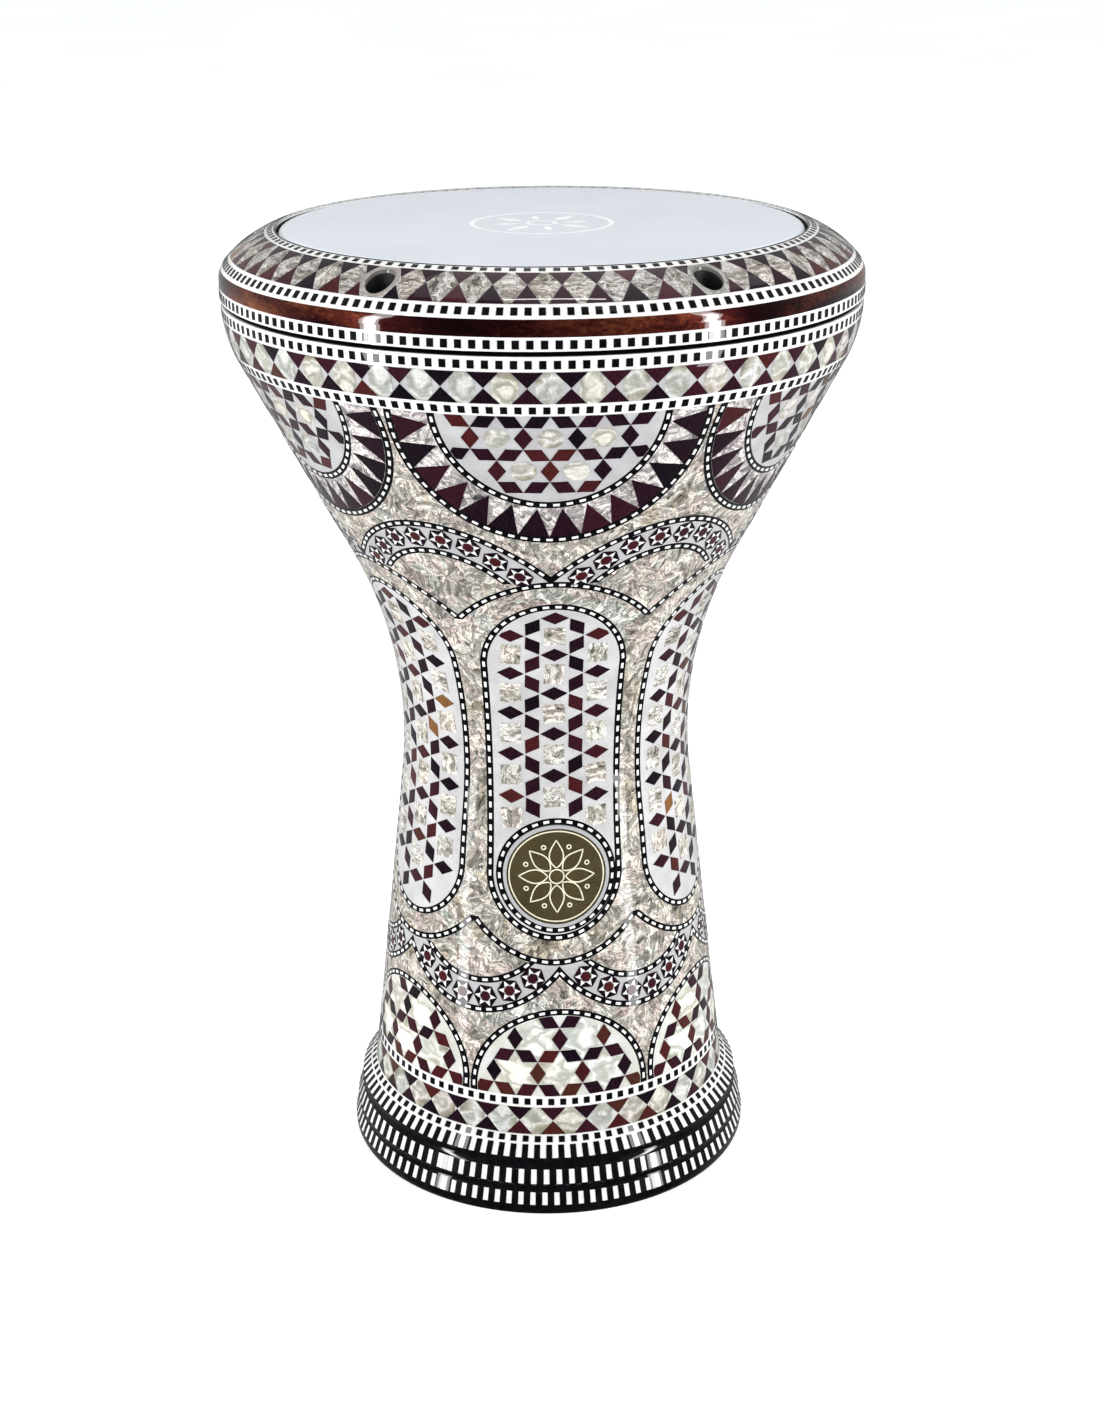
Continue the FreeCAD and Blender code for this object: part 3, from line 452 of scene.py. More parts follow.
def crushed(name, patch, fleck, level, pale=0.0):
    """Broken shell set edge to edge: each flake has its own tone and its own run of fine streaks, whose
    brightest bands are painted glints.
    """
    g = Graph(name, **LACQUER)
    push = g.noise(g.object, 130, 3, 0.6, 0.0, "Color")
    wavy = g.shift(g.object, 0.010, push)
    hue = g.noise(wavy, patch, 3, 0.6, 0.6)
    colour = g.ramp(hue, [(0.28, (0.42, 0.36, 0.28)), (0.38, (0.50, 0.45, 0.37)), (0.44, (0.60, 0.58, 0.54)),
                          (0.50, (0.55, 0.51, 0.45)), (0.55, (0.62, 0.52, 0.49)), (0.61, (0.50, 0.53, 0.48)),
                          (0.70, (0.66, 0.65, 0.63))])
    colour = g.mix(pale, colour, (0.60, 0.565, 0.59))
    flake = g.cells(wavy, fleck)
    shade = g.add("SeparateColor", {0: flake}).outputs[0]
    tones = g.ramp(shade, [(0.0, grey(0.62)), (0.5, grey(1.0)), (1.0, grey(1.3))])
    colour = g.mix(0.9, colour, tones, "MULTIPLY")
    centred = g.add("VectorMath", {0: flake, 1: (0.5, 0.5, 0.5)}, operation="SUBTRACT").outputs[0]
    across = g.add("VectorMath", {0: centred}, operation="NORMALIZE").outputs[0]
    rippled = g.shift(g.object, 0.0035, push)
    along = g.add("VectorMath", {0: rippled, 1: across}, operation="DOT_PRODUCT").outputs["Value"]
    squeeze = g.math("MULTIPLY", along, 470.0)
    packed = g.add("VectorMath", {0: across, "Scale": squeeze}, operation="SCALE").outputs[0]
    spread = g.scaled(rippled, (105.0, 105.0, 105.0))
    grain = g.add("VectorMath", {0: spread, 1: packed}, operation="ADD").outputs[0]
    veins_and_glints = g.noise(grain, 1.0, 2, 0.6, 0.7)
    # streak steps: those below 1 are the shell's own dark streaks, those above 1 are painted glints
    steps = [(0.30, 0.22), (0.37, 0.95), (0.42, 0.40), (0.46, 1.15), (0.50, 0.58), (0.55, 2.6), (0.59, 0.70),
             (0.64, 2.1), (0.72, 0.8)]
    lines = g.ramp(veins_and_glints, [(place, (most, most * 0.985, most * 0.96)) for place, most in steps])
    colour = g.mix(1.0, colour, lines, "MULTIPLY")
    speck = g.noise(rippled, fleck * 2.6, 2, 0.6)
    pits = g.ramp(speck, [(0.34, grey(0.35)), (0.42, grey(1.0)), (0.6, grey(1.1))])
    colour = g.mix(0.85, colour, pits, "MULTIPLY")
    colour = g.mix(1.0, colour, grey(level), "MULTIPLY")
    return g.finish(colour, g.ramp(veins_and_glints, [(0.3, grey(0.22)), (0.7, grey(0.5))]), veins_and_glints, 0.12)


def rosewood(name):
    """A dark red-brown band whose figure glows orange where light strikes it, under lacquer."""
    g = Graph(name, **dict(LACQUER, Coat_Weight=1.0, Metallic=0.6, Specular_IOR_Level=0.0))
    patch = g.noise(g.scaled(g.object, (1, 1, 3)), 16, 3)
    figure = g.noise(g.scaled(g.object, (1, 1, 2.2), (0.3, 0.2, 0)), 170, 6, 0.7, 1.5)
    both = g.math("ADD", g.math("MULTIPLY", patch, 0.75), g.math("MULTIPLY", figure, 0.35))
    return g.finish(g.ramp(both, [(0.42, (0.010, 0.002, 0.003)), (0.50, (0.030, 0.005, 0.005)),
                                  (0.57, (0.090, 0.018, 0.011)), (0.66, (0.24, 0.070, 0.026)),
                                  (0.78, (0.46, 0.17, 0.065))]),
                    g.ramp(figure, [(0.3, grey(0.30)), (0.7, grey(0.42))]), figure, 0.05)


def metal(name, colour, dark, rough, scale=400.0, stretch=(1.0, 1.0, 1.0), depth=0.05, shine=1.0):
    g = Graph(name, Metallic=shine)
    wear = g.noise(g.object, 60, 5, 0.6)
    brushed = g.noise(g.scaled(g.object, stretch), scale, 4, 0.6)
    return g.finish(g.mix(wear, colour, dark),
                    g.ramp(brushed, [(0.3, grey(rough * 0.75)), (0.7, grey(rough * 1.35))]), brushed, depth)


def film_material(name):
    """The head: a milky polyester film, smooth and glossy, a little cloudy."""
    g = Graph(name, Specular_IOR_Level=0.5, Coat_Weight=0.3, Coat_Roughness=0.05)
    cloud = g.noise(g.object, 14, 4)
    fine = g.noise(g.object, 1200, 2)
    return g.finish(g.ramp(cloud, [(0.3, (0.83, 0.885, 0.95)), (0.7, (0.87, 0.92, 0.98))]),
                    g.ramp(cloud, [(0.3, grey(0.14)), (0.7, grey(0.2))]), fine, 0.02)


def print_ink(name):
    """Opaque white ink, faintly mottled."""
    g = Graph(name, Specular_IOR_Level=0.5)
    mottle = g.noise(g.object, 500, 4, 0.6)
    return g.finish(g.ramp(mottle, [(0.3, grey(0.93)), (0.7, grey(0.99))]),
                    g.ramp(mottle, [(0.3, grey(0.25)), (0.7, grey(0.35))]), mottle, 0.03)


def cast_near_black(name):
    """Near-black all over the casting, its recesses too; sandy and a little uneven."""
    g = Graph(name, Specular_IOR_Level=0.4)
    sand = g.noise(g.object, 900, 4, 0.7)
    uneven = g.noise(g.object, 30, 4)
    return g.finish(g.ramp(uneven, [(0.3, grey(0.010)), (0.7, grey(0.024))]),
                    g.ramp(sand, [(0.3, grey(0.42)), (0.7, grey(0.65))]), sand, 0.3)


black = black_resin("resin_black")
white = bone("bone_white")
lilac = ground_white("paste_lilac", 0.0, 0.68)
pale = ground_white("paste_pale", 0.2, 0.82)
cream = ground_white("paste_cream", 1.0, 0.95)
plum = plum_wood("wood_plum", 0.0)
maroon = plum_wood("wood_maroon", 0.12)
nacre = pearl("pearl_white", 6.0, 0.3, 0.70)
starred = pearl("pearl_star", 9.5, 0.12, 0.9)
abalone = pearl("pearl_figured", 12.0, 1.0, 0.70, 0.6)
chips = pearl("pearl_chip", 11.0, 1.0, 0.85, 0.35)
mosaic = crushed("pearl_crushed", 40.0, 150.0, 0.61)
rays = crushed("pearl_rays", 60.0, 130.0, 0.66, 0.6)
hole_tile = pearl("pearl_grey", 9.0, 0.7, 0.42, 0.3)
band_wood = rosewood("wood_rose")
brass = metal("brass_brushed", (0.145, 0.112, 0.048), (0.040, 0.030, 0.012), 0.30, 700.0, (0.1, 1, 1),
              shine=0.35)
brass_bright = metal("brass_bright", (0.95, 0.90, 0.70), (0.80, 0.73, 0.54), 0.22, shine=0.1)
silver = metal("bezel_silver", (0.80, 0.80, 0.80), (0.58, 0.58, 0.60), 0.18, shine=0.4)
steel = metal("steel_dark", (0.20, 0.20, 0.21), (0.10, 0.10, 0.11), 0.30)
steel_light = metal("steel_light", (0.55, 0.55, 0.56), (0.42, 0.42, 0.43), 0.3)
aluminium = metal("aluminium_turned", (0.78, 0.79, 0.80), (0.66, 0.67, 0.69), 0.25)
casting = cast_near_black("casting_near_black")
film = film_material("film_milky")
print_white = print_ink("print_white")

FINISHES = {
    "shell": casting, "tension_ring": casting, "recess_linings": casting,
    "thread_inserts": steel_light, "head_film": film, "hoop_resin": black, "head_hoop": aluminium,
    "shoulder_dotted_strip": white, "bowl_dotted_strip": white, "ankle_dotted_strip": white,
    "foot_dotted_strip": white, "ring_lip_strip": white, "ring_corner_strip": white,
    "ring_lower_strip": white, "shoulder_diamond_band": lilac, "foot_diamond_band": cream,
    "ring_diamond_band": lilac, "scallop_sunbursts": rays, "scallop_star_fields": lilac,
    "arch_flower_fields": lilac, "neck_star_fields": pale, "low_arch_flower_fields": lilac,
    "dome_star_fields": cream, "pearl_ground": mosaic, "medallion": brass, "medallion_bezel": silver,
    "medallion_border": black, "foot_bars_upper": white, "foot_bars_middle": white,
    "foot_bars_lower": white, "foot_moulding": black, "screw_hole_tiles": hole_tile,
    "ring_wood_band": band_wood, "washers": steel_light,
}
for name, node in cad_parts.items():
    chosen = FINISHES.get(name, black if "stringing" in name else steel)
    node.data.materials.clear()
    node.data.materials.append(chosen)


# ---- level bands ----
def dots(name, body, surface, count, low, high, start=0.0, share=0.5):
    """Black squares of a dotted strip."""
    half = 360 / count * share / 2
    piece(name, body, black, surface, around(count, box(half, low, high), start))


def shell_s(z):
    return SHELL.along(z)


dots("shoulder_dots", "shell", SHELL, 157, shell_s(396.0), shell_s(399.2))
dots("bowl_dots", "shell", SHELL, 152, shell_s(377.8), shell_s(380.7), 0.6)
dots("ankle_dots", "shell", SHELL, 95, shell_s(49.2), shell_s(52.2), 0.8)
dots("foot_dots", "shell", SKIRT_STRIP, 97, 1.1, 3.9, 0.2)
dots("ring_lip_dots", "ring", RING, 130, 37.0, 39.3, 0.0, 0.46)
dots("ring_corner_dots", "ring", RING, 159, 13.6, 17.0)
dots("ring_lower_dots", "ring", RING, 158, 0.9, 4.2, 0.3)


piece("ring_lip_edge", "ring", black, RING, around(144, box(1.25, 40.0, 40.55)), weld=True)
TILE_FLAT, TILE_LEAN = 2.3, 1.9     # degrees: half the flat side, and how far its corner stands out


def diamond_band(prefix, body, surface, count, low, high, middle, half_base, pearl_material,
                 wood_material, start, reach=1.0, skip=()):
    """Dark triangles on both edges of a band, their tips meeting between pearl diamonds."""
    half = 180 / count
    gap = 0.16
    narrow = half - half_base - gap
    wide = (half - gap) * reach
    share = (wide - narrow) / (half - gap - narrow)
    under, over = low + (middle - low) * share, high + (middle - high) * share
    diamond = [(-narrow, low), (narrow, low), (wide, under), (wide, over), (narrow, high), (-narrow, high),
               (-wide, over), (-wide, under)]
    triangles = [[(-half_base, low), (half_base, low), (0, middle - 0.1)],
                 [(half_base, high), (-half_base, high), (0, middle + 0.1)]]
    pearls, woods = [], []
    for k in range(count):
        at = start + 360 * k / count
        if k not in skip:
            pearls.append((moved(diamond, at, 0), tone()))
        for triangle in triangles:
            shape = moved(triangle, at + half, 0)
            edge = low if triangle[0][1] == low else high
            slope = (middle - edge) / TILE_LEAN
            if k in skip:
                shape = cut(shape, (at + TILE_FLAT, edge), (-abs(slope), math.copysign(1, slope)))
            if (k + 1) % count in skip:
                shape = cut(shape, (at + 2 * half - TILE_FLAT, edge), (abs(slope), math.copysign(1, slope)))
            if len(shape) > 2:
                woods.append((shape, tone()))
    piece(prefix + "_diamonds", body, pearl_material, surface, pearls)
    piece(prefix + "_triangles", body, wood_material, surface, woods)


diamond_band("shoulder", "shell", SHELL, 51, shell_s(381.9) + 0.2, shell_s(394.9) - 0.2,
             shell_s(388.4), 2.55, nacre, plum, 1.0, 0.64)
diamond_band("foot", "shell", SHELL, 34, shell_s(34.8) + 0.3, shell_s(48.1) - 0.2,
             shell_s(41.6), 4.0, nacre, maroon, -4.0, 0.85)
SCREW_TURN = 0.45
diamond_band("ring", "ring", RING, 60, 18.7, 35.7, 28.0, 2.35, abalone, plum, SCREW_TURN, 0.995,
             [5, 15, 25, 35, 45, 55])


SCREW_CIRCLE = 124.5    # radius of the circle that the screws stand on
TILE_HOLE = 6.1         # radius of the hole in each tile
TILE_CENTRE = 27.0      # where that hole's middle is, along the ring's outline
MM_PER_DEG = 2.17       # length of a degree round the ring there


def hole_tiles():
    """Six pearl tiles of the ring's band, each with the screw's recess through it."""
    low, high, middle = 18.9, 35.5, 28.0
    corners = [(-TILE_FLAT, low), (TILE_FLAT, low), (TILE_FLAT + TILE_LEAN, middle), (TILE_FLAT, high),
               (-TILE_FLAT, high), (-TILE_FLAT - TILE_LEAN, middle)]
    shapes = []
    for at in row_turns(SCREW_TURN + 30):
        inner, outer = [], []
        for a, b in zip(corners, corners[1:] + corners[:1]):
            for t in (0, 0.25, 0.5, 0.75):
                outer.append((a[0] + (b[0] - a[0]) * t, a[1] + (b[1] - a[1]) * t))
        for x, y in outer:
            angle = math.atan2(TILE_CENTRE - y, x * MM_PER_DEG)
            across = TILE_HOLE * math.cos(angle)
            out = SCREW_CIRCLE + TILE_HOLE * math.sin(angle)
            along = float(np.interp(-math.hypot(across, out), -RING.r[60:], RING.s[60:]))
            inner.append((math.degrees(math.atan2(across, out)), along))
        pick = tone()
        for k in range(len(outer)):
            j = (k + 1) % len(outer)
            shapes.append((moved([outer[k], outer[j], inner[j], inner[k]], at, 0), pick))
    piece("recess_tiles", "ring", hole_tile, RING, shapes, weld=True)


def row_turns(turn):
    return [turn + 360 / COPIES * k for k in range(COPIES)]


hole_tiles()


def bars(name, surface, count, share, start):
    """Black resin between the white bars of one tier of the foot."""
    low, high = surface.s[0], surface.s[-1]
    half = 360 / count * share / 2
    piece(name, "shell", black, surface, around(count, box(half, low, high), start))


# ---- stringing ----
def circle_path(centre, radius, keep):
    """Points of a circle in panel coordinates where keep(x, z) is true, from one end on."""
    turns = [k * 0.5 for k in range(720)]
    points = [(radius * math.cos(math.radians(a)), centre + radius * math.sin(math.radians(a)))
              for a in turns]
    kept = [keep(*p) for p in points]
    first = next((k for k in range(720) if kept[k] and not kept[k - 1]), 0)
    out = []
    for k in range(720):
        if not kept[(first + k) % 720]:
            break
        out.append(points[(first + k) % 720])
    return out


def neck_outline(grow, hollow=True):
    """A neck panel's outline, grown: hollow or straight sides between two half circles."""
    low, high, low_z, high_z = 28.4 + grow, 29.6 + grow, 156.9, 256.0
    side = []
    for t in np.linspace(0, 1, 100, endpoint=False):
        bow = (high_z - low_z) ** 2 / (2 * 880) * t * (1 - t) if hollow else 0
        side.append((low + (high - low) * t - bow, low_z + (high_z - low_z) * t))
    top = [(high * math.cos(math.radians(a)), high_z + high * math.sin(math.radians(a))) for a in range(181)]
    down = [(-x, z) for x, z in reversed(side[1:])]
    under = [(low * math.cos(math.radians(a)), low_z + low * math.sin(math.radians(a)))
             for a in range(180, 360)]
    return side + top + down + under


def dashes(path, turn, closed=False, pitch=5.2, length=2.6, width=1.15, blocked=None):
    """White dashes at an even pitch along a path on the shell."""
    laid = wrap(path + path[:1] if closed else path, turn)
    deg, s = np.array(laid).T
    r = np.interp(s, SHELL.s, SHELL.r)
    step = np.hypot(np.radians(np.diff(deg)) * (r[1:] + r[:-1]) / 2, np.diff(s))
    run = np.concatenate([[0], np.cumsum(step)])
    count = max(1, round(run[-1] / pitch))
    out = []
    for k in range(count):
        ends = [(k + 0.5) / count * run[-1] + side * length / 2 for side in (-1, 0, 1)]
        a, m, b = [(float(np.interp(e, run, deg)), float(np.interp(e, run, s))) for e in ends]
        if blocked and blocked(*m):
            continue
        scale = math.radians(SHELL.radius(m[1]))
        dx, dy = (b[0] - a[0]) * scale, b[1] - a[1]
        size = math.hypot(dx, dy)
        ox, oy = -dy / size * width / 2 / scale, dx / size * width / 2
        out.append(([(a[0] - ox, a[1] - oy), (b[0] - ox, b[1] - oy), (b[0] + ox, b[1] + oy),
                     (a[0] + ox, a[1] + oy)], tone()))
    return out


def in_halo(deg, s):
    return in_circle(deg, s, 3.0, 247.7, 51.8)


def in_low_halo(deg, s):
    return in_circle(deg, s, 3.0, 160.6, 46.1)


MEDAL_TURN, MEDAL_HEIGHT, MEDAL_BORDER = 3.5, 157.0, 26.4


def beside_medallion(laid):
    """A laid outline cut back from the medallion's border; nothing if most of it is under it."""
    flat = [(SHELL.radius(s) * math.sin(math.radians(deg - MEDAL_TURN)), SHELL.height(s)) for deg, s in laid]
    x = sum(p[0] for p in flat) / len(flat)
    rise = sum(p[1] for p in flat) / len(flat) - MEDAL_HEIGHT
    far = math.hypot(x, rise)
    if far > 40 or math.cos(math.radians(laid[0][0] - MEDAL_TURN)) < 0.5:
        return laid
    inward = (-x / far, -rise / far)
    reach = MEDAL_BORDER + 0.5
    kept = cut(flat, (-inward[0] * reach, MEDAL_HEIGHT - inward[1] * reach), inward)
    if len(kept) < 3 or area(kept) < 0.45 * area(flat):
        return []
    return wrap(kept, MEDAL_TURN)


def stringing(name, turn, path, closed=False, blocked=None):
    shapes = []
    for at in row_turns(turn):
        shapes += dashes(path, at, closed, blocked=blocked)
    piece(name, "shell", white, SHELL, shapes, cuts=None)


stringing("scallop_dashes", 1.2, circle_path(382.4, 62.8, lambda x, z: z < 376.4))
stringing("scallop_core_dashes", 1.2, circle_path(382.4, 46.1, lambda x, z: z < 376.4))
stringing("arch_dashes", 31.6, circle_path(269.4, 54.1, lambda x, z: z > 297.5), blocked=in_halo)
stringing("arch_core_dashes", 31.6, circle_path(273.9, 36.6, lambda x, z: z > 290), blocked=in_halo)
stringing("halo_dashes", 3.0, circle_path(247.7, 49.3, lambda x, z: z > 277))
stringing("neck_dashes", 3.0, neck_outline(0), True)
stringing("low_halo_dashes", 3.0, circle_path(160.6, 43.6, lambda x, z: z < 135.2))
stringing("low_arch_dashes", 34.0, circle_path(136.1, 43.9, lambda x, z: z < 113.3), blocked=in_low_halo)
stringing("low_arch_core_dashes", 34.0, circle_path(141.9, 35.7, lambda x, z: z < 121), blocked=in_low_halo)
stringing("dome_dashes", 3.8, circle_path(55.0, 38.6, lambda x, z: z > 53.8))
piece("medallion_dashes", "shell", white, SHELL,
      dashes(circle_path(MEDAL_HEIGHT, 24.95, lambda x, z: True), MEDAL_TURN, True), cuts=None)


# ---- sunbursts, star fields and flowers ----
def sunbursts():
    rays_per_half, centre, base, tip = 14, 382.4, 61.2, 48.2
    start, stop = 187.0, 353.0
    step = (stop - start) / rays_per_half
    outline = []
    for k in range(rays_per_half):
        a = start + step * k
        low = [(base * math.cos(math.radians(t)), centre + base * math.sin(math.radians(t)))
               for t in (a + 0.15, a + step / 3, a + 2 * step / 3, a + step - 0.15)]
        t = math.radians(a + step / 2)
        outline.append(low + [(tip * math.cos(t), centre + tip * math.sin(t))])
    shapes = []
    for at in row_turns(1.2):
        shapes += [(wrap(o, at), tone() * 0.85) for o in outline]
    piece("scallop_rays", "shell", plum, SHELL, shapes)


HEX = math.sqrt(3) / 2


def lattice(spacing, tall, upright, middle, field, clear, reach, long, short):
    """Rhombi on the edges of a triangular lattice, and its centres, in panel coordinates."""
    rhombi, centres = [], []

    def spot(x, y):
        u, v = (y, x) if upright else (x, y)
        return unrolled(u * spacing, middle + v * spacing * tall)

    for i in range(-9, 10):
        for j in range(-9, 10):
            x, y = i + j / 2, j * HEX
            if abs(x) > 6 or abs(y) > 6:
                continue
            if field_has(spot(x, y), clear):
                centres.append((x, y))
            for turn in (0, 60, 120):
                d = (math.cos(math.radians(turn)), math.sin(math.radians(turn)))
                cx, cy = x + d[0] / 2, y + d[1] / 2
                shape = [(cx + d[0] * short, cy + d[1] * short), (cx - d[1] * long, cy + d[0] * long),
                         (cx - d[0] * short, cy - d[1] * short), (cx + d[1] * long, cy - d[0] * long)]
                shape = [spot(*p) for p in shape]
                kept = within(shape, field)
                if abs(spot(cx, cy)[0]) < reach and len(kept) > 2 and area(kept) > 0.5 * area(shape):
                    rhombi.append(kept)
    return rhombi, centres, spot


def field_has(point, field):
    return all((point[0] - a[0]) * (b[1] - a[1]) - (point[1] - a[1]) * (b[0] - a[0]) <= 0
               for a, b in zip(field, field[1:] + field[:1]))


def circle_field(height, radius, low=None, high=None):
    field = moved(polygon(72, radius), 0, height)
    if low is not None:
        field = cut(field, (0, low), (0, -1))
    if high is not None:
        field = cut(field, (0, high), (0, 1))
    return field


def star_field(prefix, turn, spacing, tall, upright, middle, field, clear, wood, inlay, shape,
               inlay_material, reach=60.0, long=0.284, short=0.176, uneven=0.0):
    """One row of six panels: dark rhombi and a pearl piece in the middle of each star."""
    rhombi, centres, spot = lattice(spacing, tall, upright, middle, field, clear, reach, long, short)
    woods, pearls = [], []
    for at in row_turns(turn):
        for outline in rhombi:
            laid = beside_medallion(wrap(outline, at))
            if laid:
                woods.append((laid, tone()))
        for x, y in centres:
            lean = RNG.uniform(-uneven, uneven)
            wide = 1 + lean / 60
            cut_shape = turned([(dx * wide, dy / wide) for dx, dy in shape], lean)
            outline = [spot(x + dx / spacing, y + dy / spacing) for dx, dy in cut_shape]
            laid = beside_medallion(wrap(outline, at))
            if laid:
                pearls.append((laid, tone()))
    piece(prefix + "_rhombi", "shell", wood, SHELL, woods)
    piece(prefix + "_" + inlay, "shell", inlay_material, SHELL, pearls)


sunbursts()
star_field("scallop", 1.2, 20.7, 0.93, False, shell_s(366.8),
           circle_field(382.4, 44.4, high=376.7), circle_field(382.4, 38.0, high=372), plum, "discs",
           polygon(28, 5.1), nacre)
star_field("neck", 3.0, 21.6, 0.915, True, shell_s(212.8),
           neck_outline(-2.4, False), neck_outline(-7.5, False), plum, "chips", box(5.2, -4.4, 4.4),
           chips, 21.5, 0.270, 0.168, 4.0)
star_field("dome", 3.8, 20.2, 0.935, False, shell_s(64.4),
           circle_field(55, 36.9, low=53.5), circle_field(55, 32.5, low=60), maroon, "stars",
           star(6, 10.6, 6.2, 30), starred)


def flowers(prefix, turn, heights):
    """Dark hexagons between the two stringings of an arch, each with a six-pointed white star."""
    hexes, fields, points = [], [], []
    for at in row_turns(turn):
        for x, z in heights:
            for side in (-1, 1):
                middle_s = SHELL.along(z)
                r = SHELL.radius(middle_s)
                u0 = r * math.asin(side * x / r)
                lean = RNG.uniform(-12, 12)

                def lay(outline):
                    spun = turned(outline, lean)
                    return wrap([unrolled(u0 + p[0], middle_s + p[1]) for p in spun], at)

                for k in range(6):
                    between = [(2.6, 1.1), (5.15, 0.0), (5.7, 0.0)]
                    mirrored = turned([(x, -y) for x, y in reversed(between)], 60)
                    fields.append((lay(turned(between + mirrored, 60 * k)), tone() * 0.3))
                    points.append((lay(turned([(2.6, -1.05), (5.1, 0), (2.6, 1.05)], 60 * k)), tone()))
                hexes.append((lay(polygon(6, 2.5)), tone() * 0.35 + 0.5))
    piece(prefix + "_fields", "shell", plum, SHELL, fields)
    piece(prefix + "_points", "shell", white, SHELL, points)
    piece(prefix + "_centres", "shell", maroon, SHELL, hexes)


flowers("arch", 31.6, [(5.9, 316.8), (17.3, 314.3), (26.6, 308.0), (34.3, 300.9)])
flowers("low_arch", 34.0, [(5.7, 98.9), (16.8, 103.0), (26.6, 109.4)])


def medallion_relief():
    """Raised rim line and a plain eight-petalled rosette on the brass disc."""
    loops = [[(20.6 * math.cos(math.radians(a)), 20.6 * math.sin(math.radians(a))) for a in range(0, 360, 5)],
             [(3.2 * math.cos(math.radians(a)), 3.2 * math.sin(math.radians(a))) for a in range(0, 360, 20)]]
    for k in range(8):
        out = [(-1, j / 14) for j in range(15)]
        back = [(1, 1 - j / 14) for j in range(1, 14)]
        sides = [(3.9 + 12.6 * t, w * 3.1 * math.sin(math.pi * t ** 0.8)) for w, t in out + back]
        loops.append(turned(sides, 45 * k))
    for k in range(8):
        loops.append(turned(moved(polygon(10, 0.9), 14.4, 0), 45 * k + 22.5))
    shapes = []
    for loop in loops:
        for quad, pick in ribbon(loop, 0.55):
            shapes.append((wrap(moved(quad, 0, MEDAL_HEIGHT), MEDAL_TURN), pick))
    piece("medallion_rosette", "shell", brass_bright, SHELL, shapes, 0.5 + 0.18, -0.3, True, None)


def head_print():
    """White printing in the middle of the head: two circles round eight plain petals."""
    shapes = ribbon(polygon(90, 29.6), 2.0) + ribbon(polygon(48, 6.0), 1.8)
    for k in range(8):
        petal = [(9.0, 0), (15.0, -2.9 if k % 2 else -2.0), (25.0 if k % 2 else 21.0, 0),
                 (15.0, 2.9 if k % 2 else 2.0)]
        shapes.append((turned(petal, 45 * k + 10), 0.5))
    piece("head_print", "shell", print_white, Disc(429.6), shapes, 0.04, 0.1, True, None)


medallion_relief()
head_print()
bars("upper_gaps", HIGH_TIER, 101, 0.5, 0.0)
bars("middle_gaps", MID_TIER, 100, 0.55, 1.0)
bars("lower_gaps", LOW_TIER, 107, 0.55, 0.4)


# ---- camera, light and floor ----
def place_camera():
    pitch, yaw, roll = math.radians(20.77), 0.0021, -0.0074
    forward = Vector((math.sin(yaw) * math.cos(pitch), math.cos(yaw) * math.cos(pitch), -math.sin(pitch)))
    right = Vector((math.cos(yaw), -math.sin(yaw), 0))
    up = right.cross(forward)
    right, up = (right * math.cos(roll) + up * math.sin(roll), up * math.cos(roll) - right * math.sin(roll))
    data = bpy.data.cameras.new("camera")
    data.lens, data.sensor_width = 56.57, 36
    camera = bpy.data.objects.new("camera", data)
    aim = Matrix((right, up, -forward)).transposed().to_4x4()
    camera.matrix_world = Matrix.Translation((0, -0.958, 0.572)) @ aim
    bpy.context.scene.collection.objects.link(camera)
    bpy.context.scene.camera = camera


def lamp(name, power, size, place, aim, glossy=True):
    data = bpy.data.lights.new(name, "AREA")
    data.shape, data.size, data.size_y = "RECTANGLE", size[0], size[1]
    data.energy = power
    obj = bpy.data.objects.new(name, data)
    obj.location = place
    obj.rotation_euler = (Vector(aim) - Vector(place)).to_track_quat("-Z", "Y").to_euler()
    obj.visible_camera = False
    obj.visible_glossy = glossy
    bpy.context.scene.collection.objects.link(obj)


place_camera()
for name, side in (("left", -1), ("right", 1)):
    lamp("softbox_" + name, 25, (0.30, 3.4), (side * 1.90, -1.13, 1.1), (0, 0, 1.1))
    lamp("strobe_" + name, 13, (0.18, 1.5), (side * 1.88, -1.12, 0.7), (0, 0, 0.7))
    lamp("fill_" + name, 20, (1.0, 2.0), (side * 2.3, 0.15, 0.9), (0, 0, 0.3), False)
lamp("overhead", 8, (2.2, 2.2), (0.3, 0.6, 2.6), (0, 0, 0.2))
lamp("line_light", 1.2, (0.56, 0.03), (0.07, -0.159, 1.92), (0.07, -0.159, 0.42))


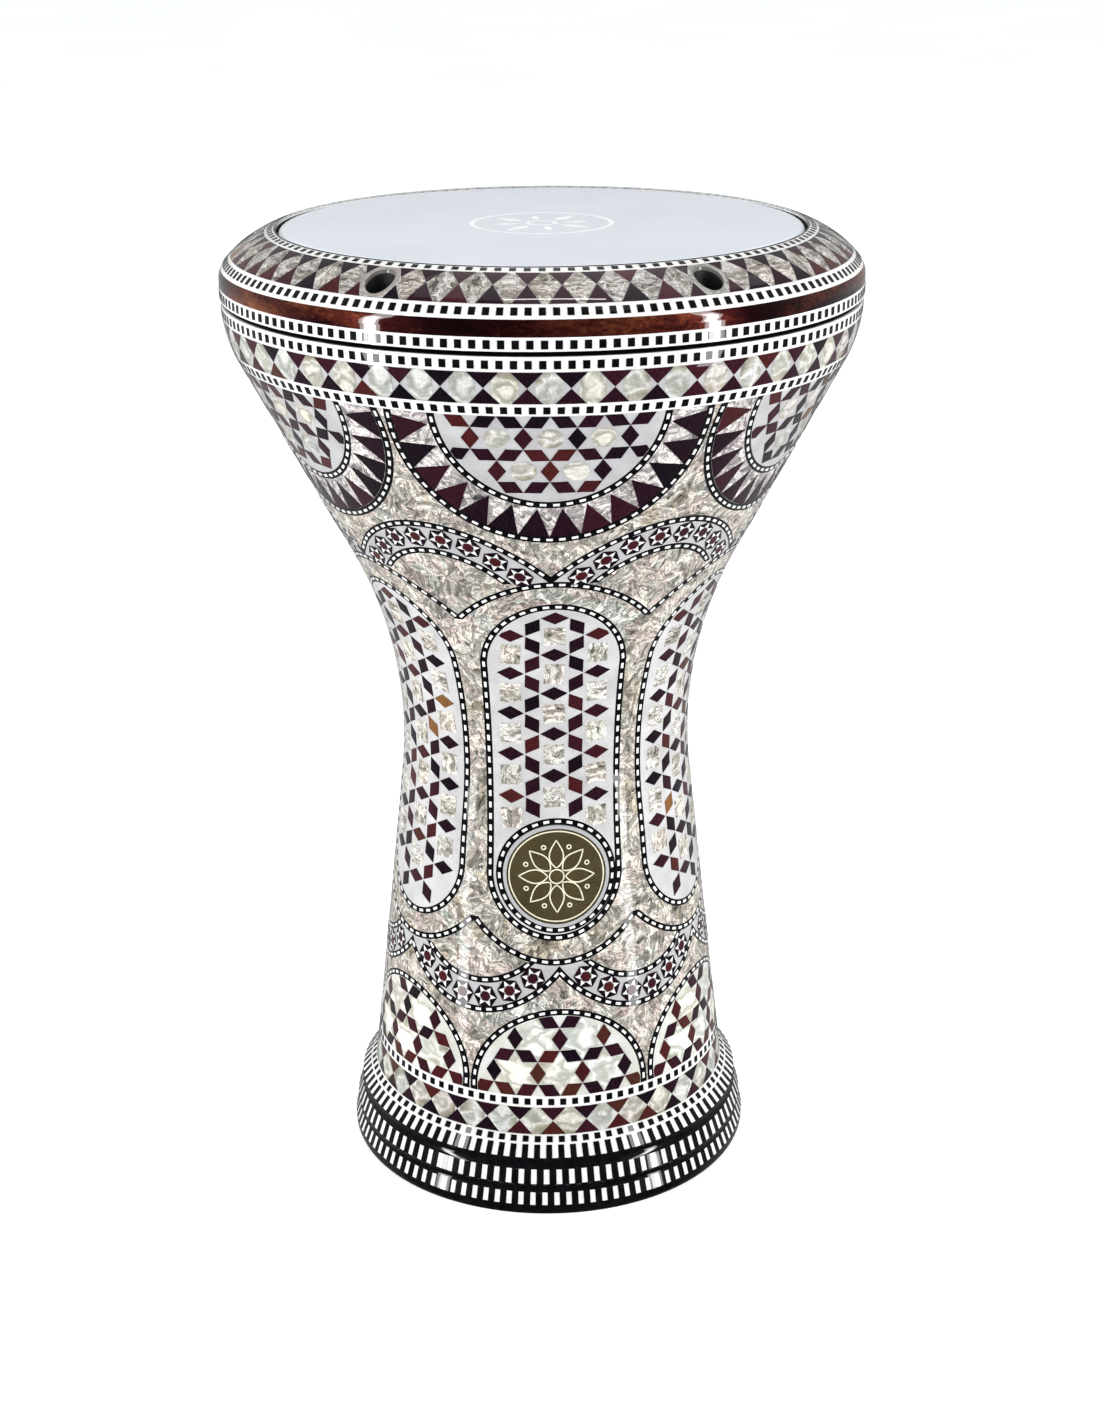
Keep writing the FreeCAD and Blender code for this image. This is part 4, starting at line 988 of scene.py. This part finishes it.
def studio_world():
    """White walls and ceiling, dark behind the camera; gloss sees white only at the back."""
    world = bpy.data.worlds.new("studio")
    bpy.context.scene.world = world
    world.use_nodes = True
    nodes, links = world.node_tree.nodes, world.node_tree.links
    back = next(n for n in nodes if n.type == "BACKGROUND")
    back.inputs["Color"].default_value = (0.97, 0.985, 1.0, 1)
    way = nodes.new("ShaderNodeSeparateXYZ")
    links.new(nodes.new("ShaderNodeTexCoord").outputs["Generated"], way.inputs[0])

    def ranged(axis, *limits):
        made = nodes.new("ShaderNodeMapRange")
        links.new(way.outputs[axis], made.inputs["Value"])
        for key, number in zip(("From Min", "From Max", "To Min", "To Max"), limits):
            made.inputs[key].default_value = number
        return made.outputs[0]

    total = nodes.new("ShaderNodeMath")
    total.operation = "ADD"
    links.new(ranged("Y", -1.0, 0.0, 0.16, 0.66), total.inputs[0])
    links.new(ranged("Z", 0.2, 1.0, 0.0, 0.30), total.inputs[1])
    path = nodes.new("ShaderNodeLightPath")
    last = total.outputs[0]
    for ray, level in (("Is Glossy Ray", ranged("Y", -0.2, 0.9, 0.02, 0.36)), ("Is Camera Ray", 1.06)):
        pick = nodes.new("ShaderNodeMix")
        links.new(path.outputs[ray], pick.inputs["Factor"])
        links.new(last, pick.inputs["A"])
        if isinstance(level, float):
            pick.inputs["B"].default_value = level
        else:
            links.new(level, pick.inputs["B"])
        last = pick.outputs["Result"]
    links.new(last, back.inputs["Strength"])


studio_world()
floor_mesh = bpy.data.meshes.new("floor")
floor_mesh.from_pydata([(-40, -40, 0), (40, -40, 0), (40, 40, 0), (-40, 40, 0)], [], [(0, 1, 2, 3)])
floor_graph = Graph("floor_pale", Roughness=0.6, Specular_IOR_Level=0.2, Emission_Strength=0.47,
                    Emission_Color=(1.0, 1.0, 1.0, 1.0))
floor_mesh.materials.append(floor_graph.finish(floor_graph.ramp(
    floor_graph.noise(floor_graph.object, 1.5, 4), [(0.3, (0.76, 0.78, 0.80)), (0.7, (0.81, 0.825, 0.84))])))
floor = bpy.data.objects.new("floor", floor_mesh)
bpy.context.scene.collection.objects.link(floor)
floor.visible_glossy = False
bpy.context.scene.view_settings.view_transform = "Standard"
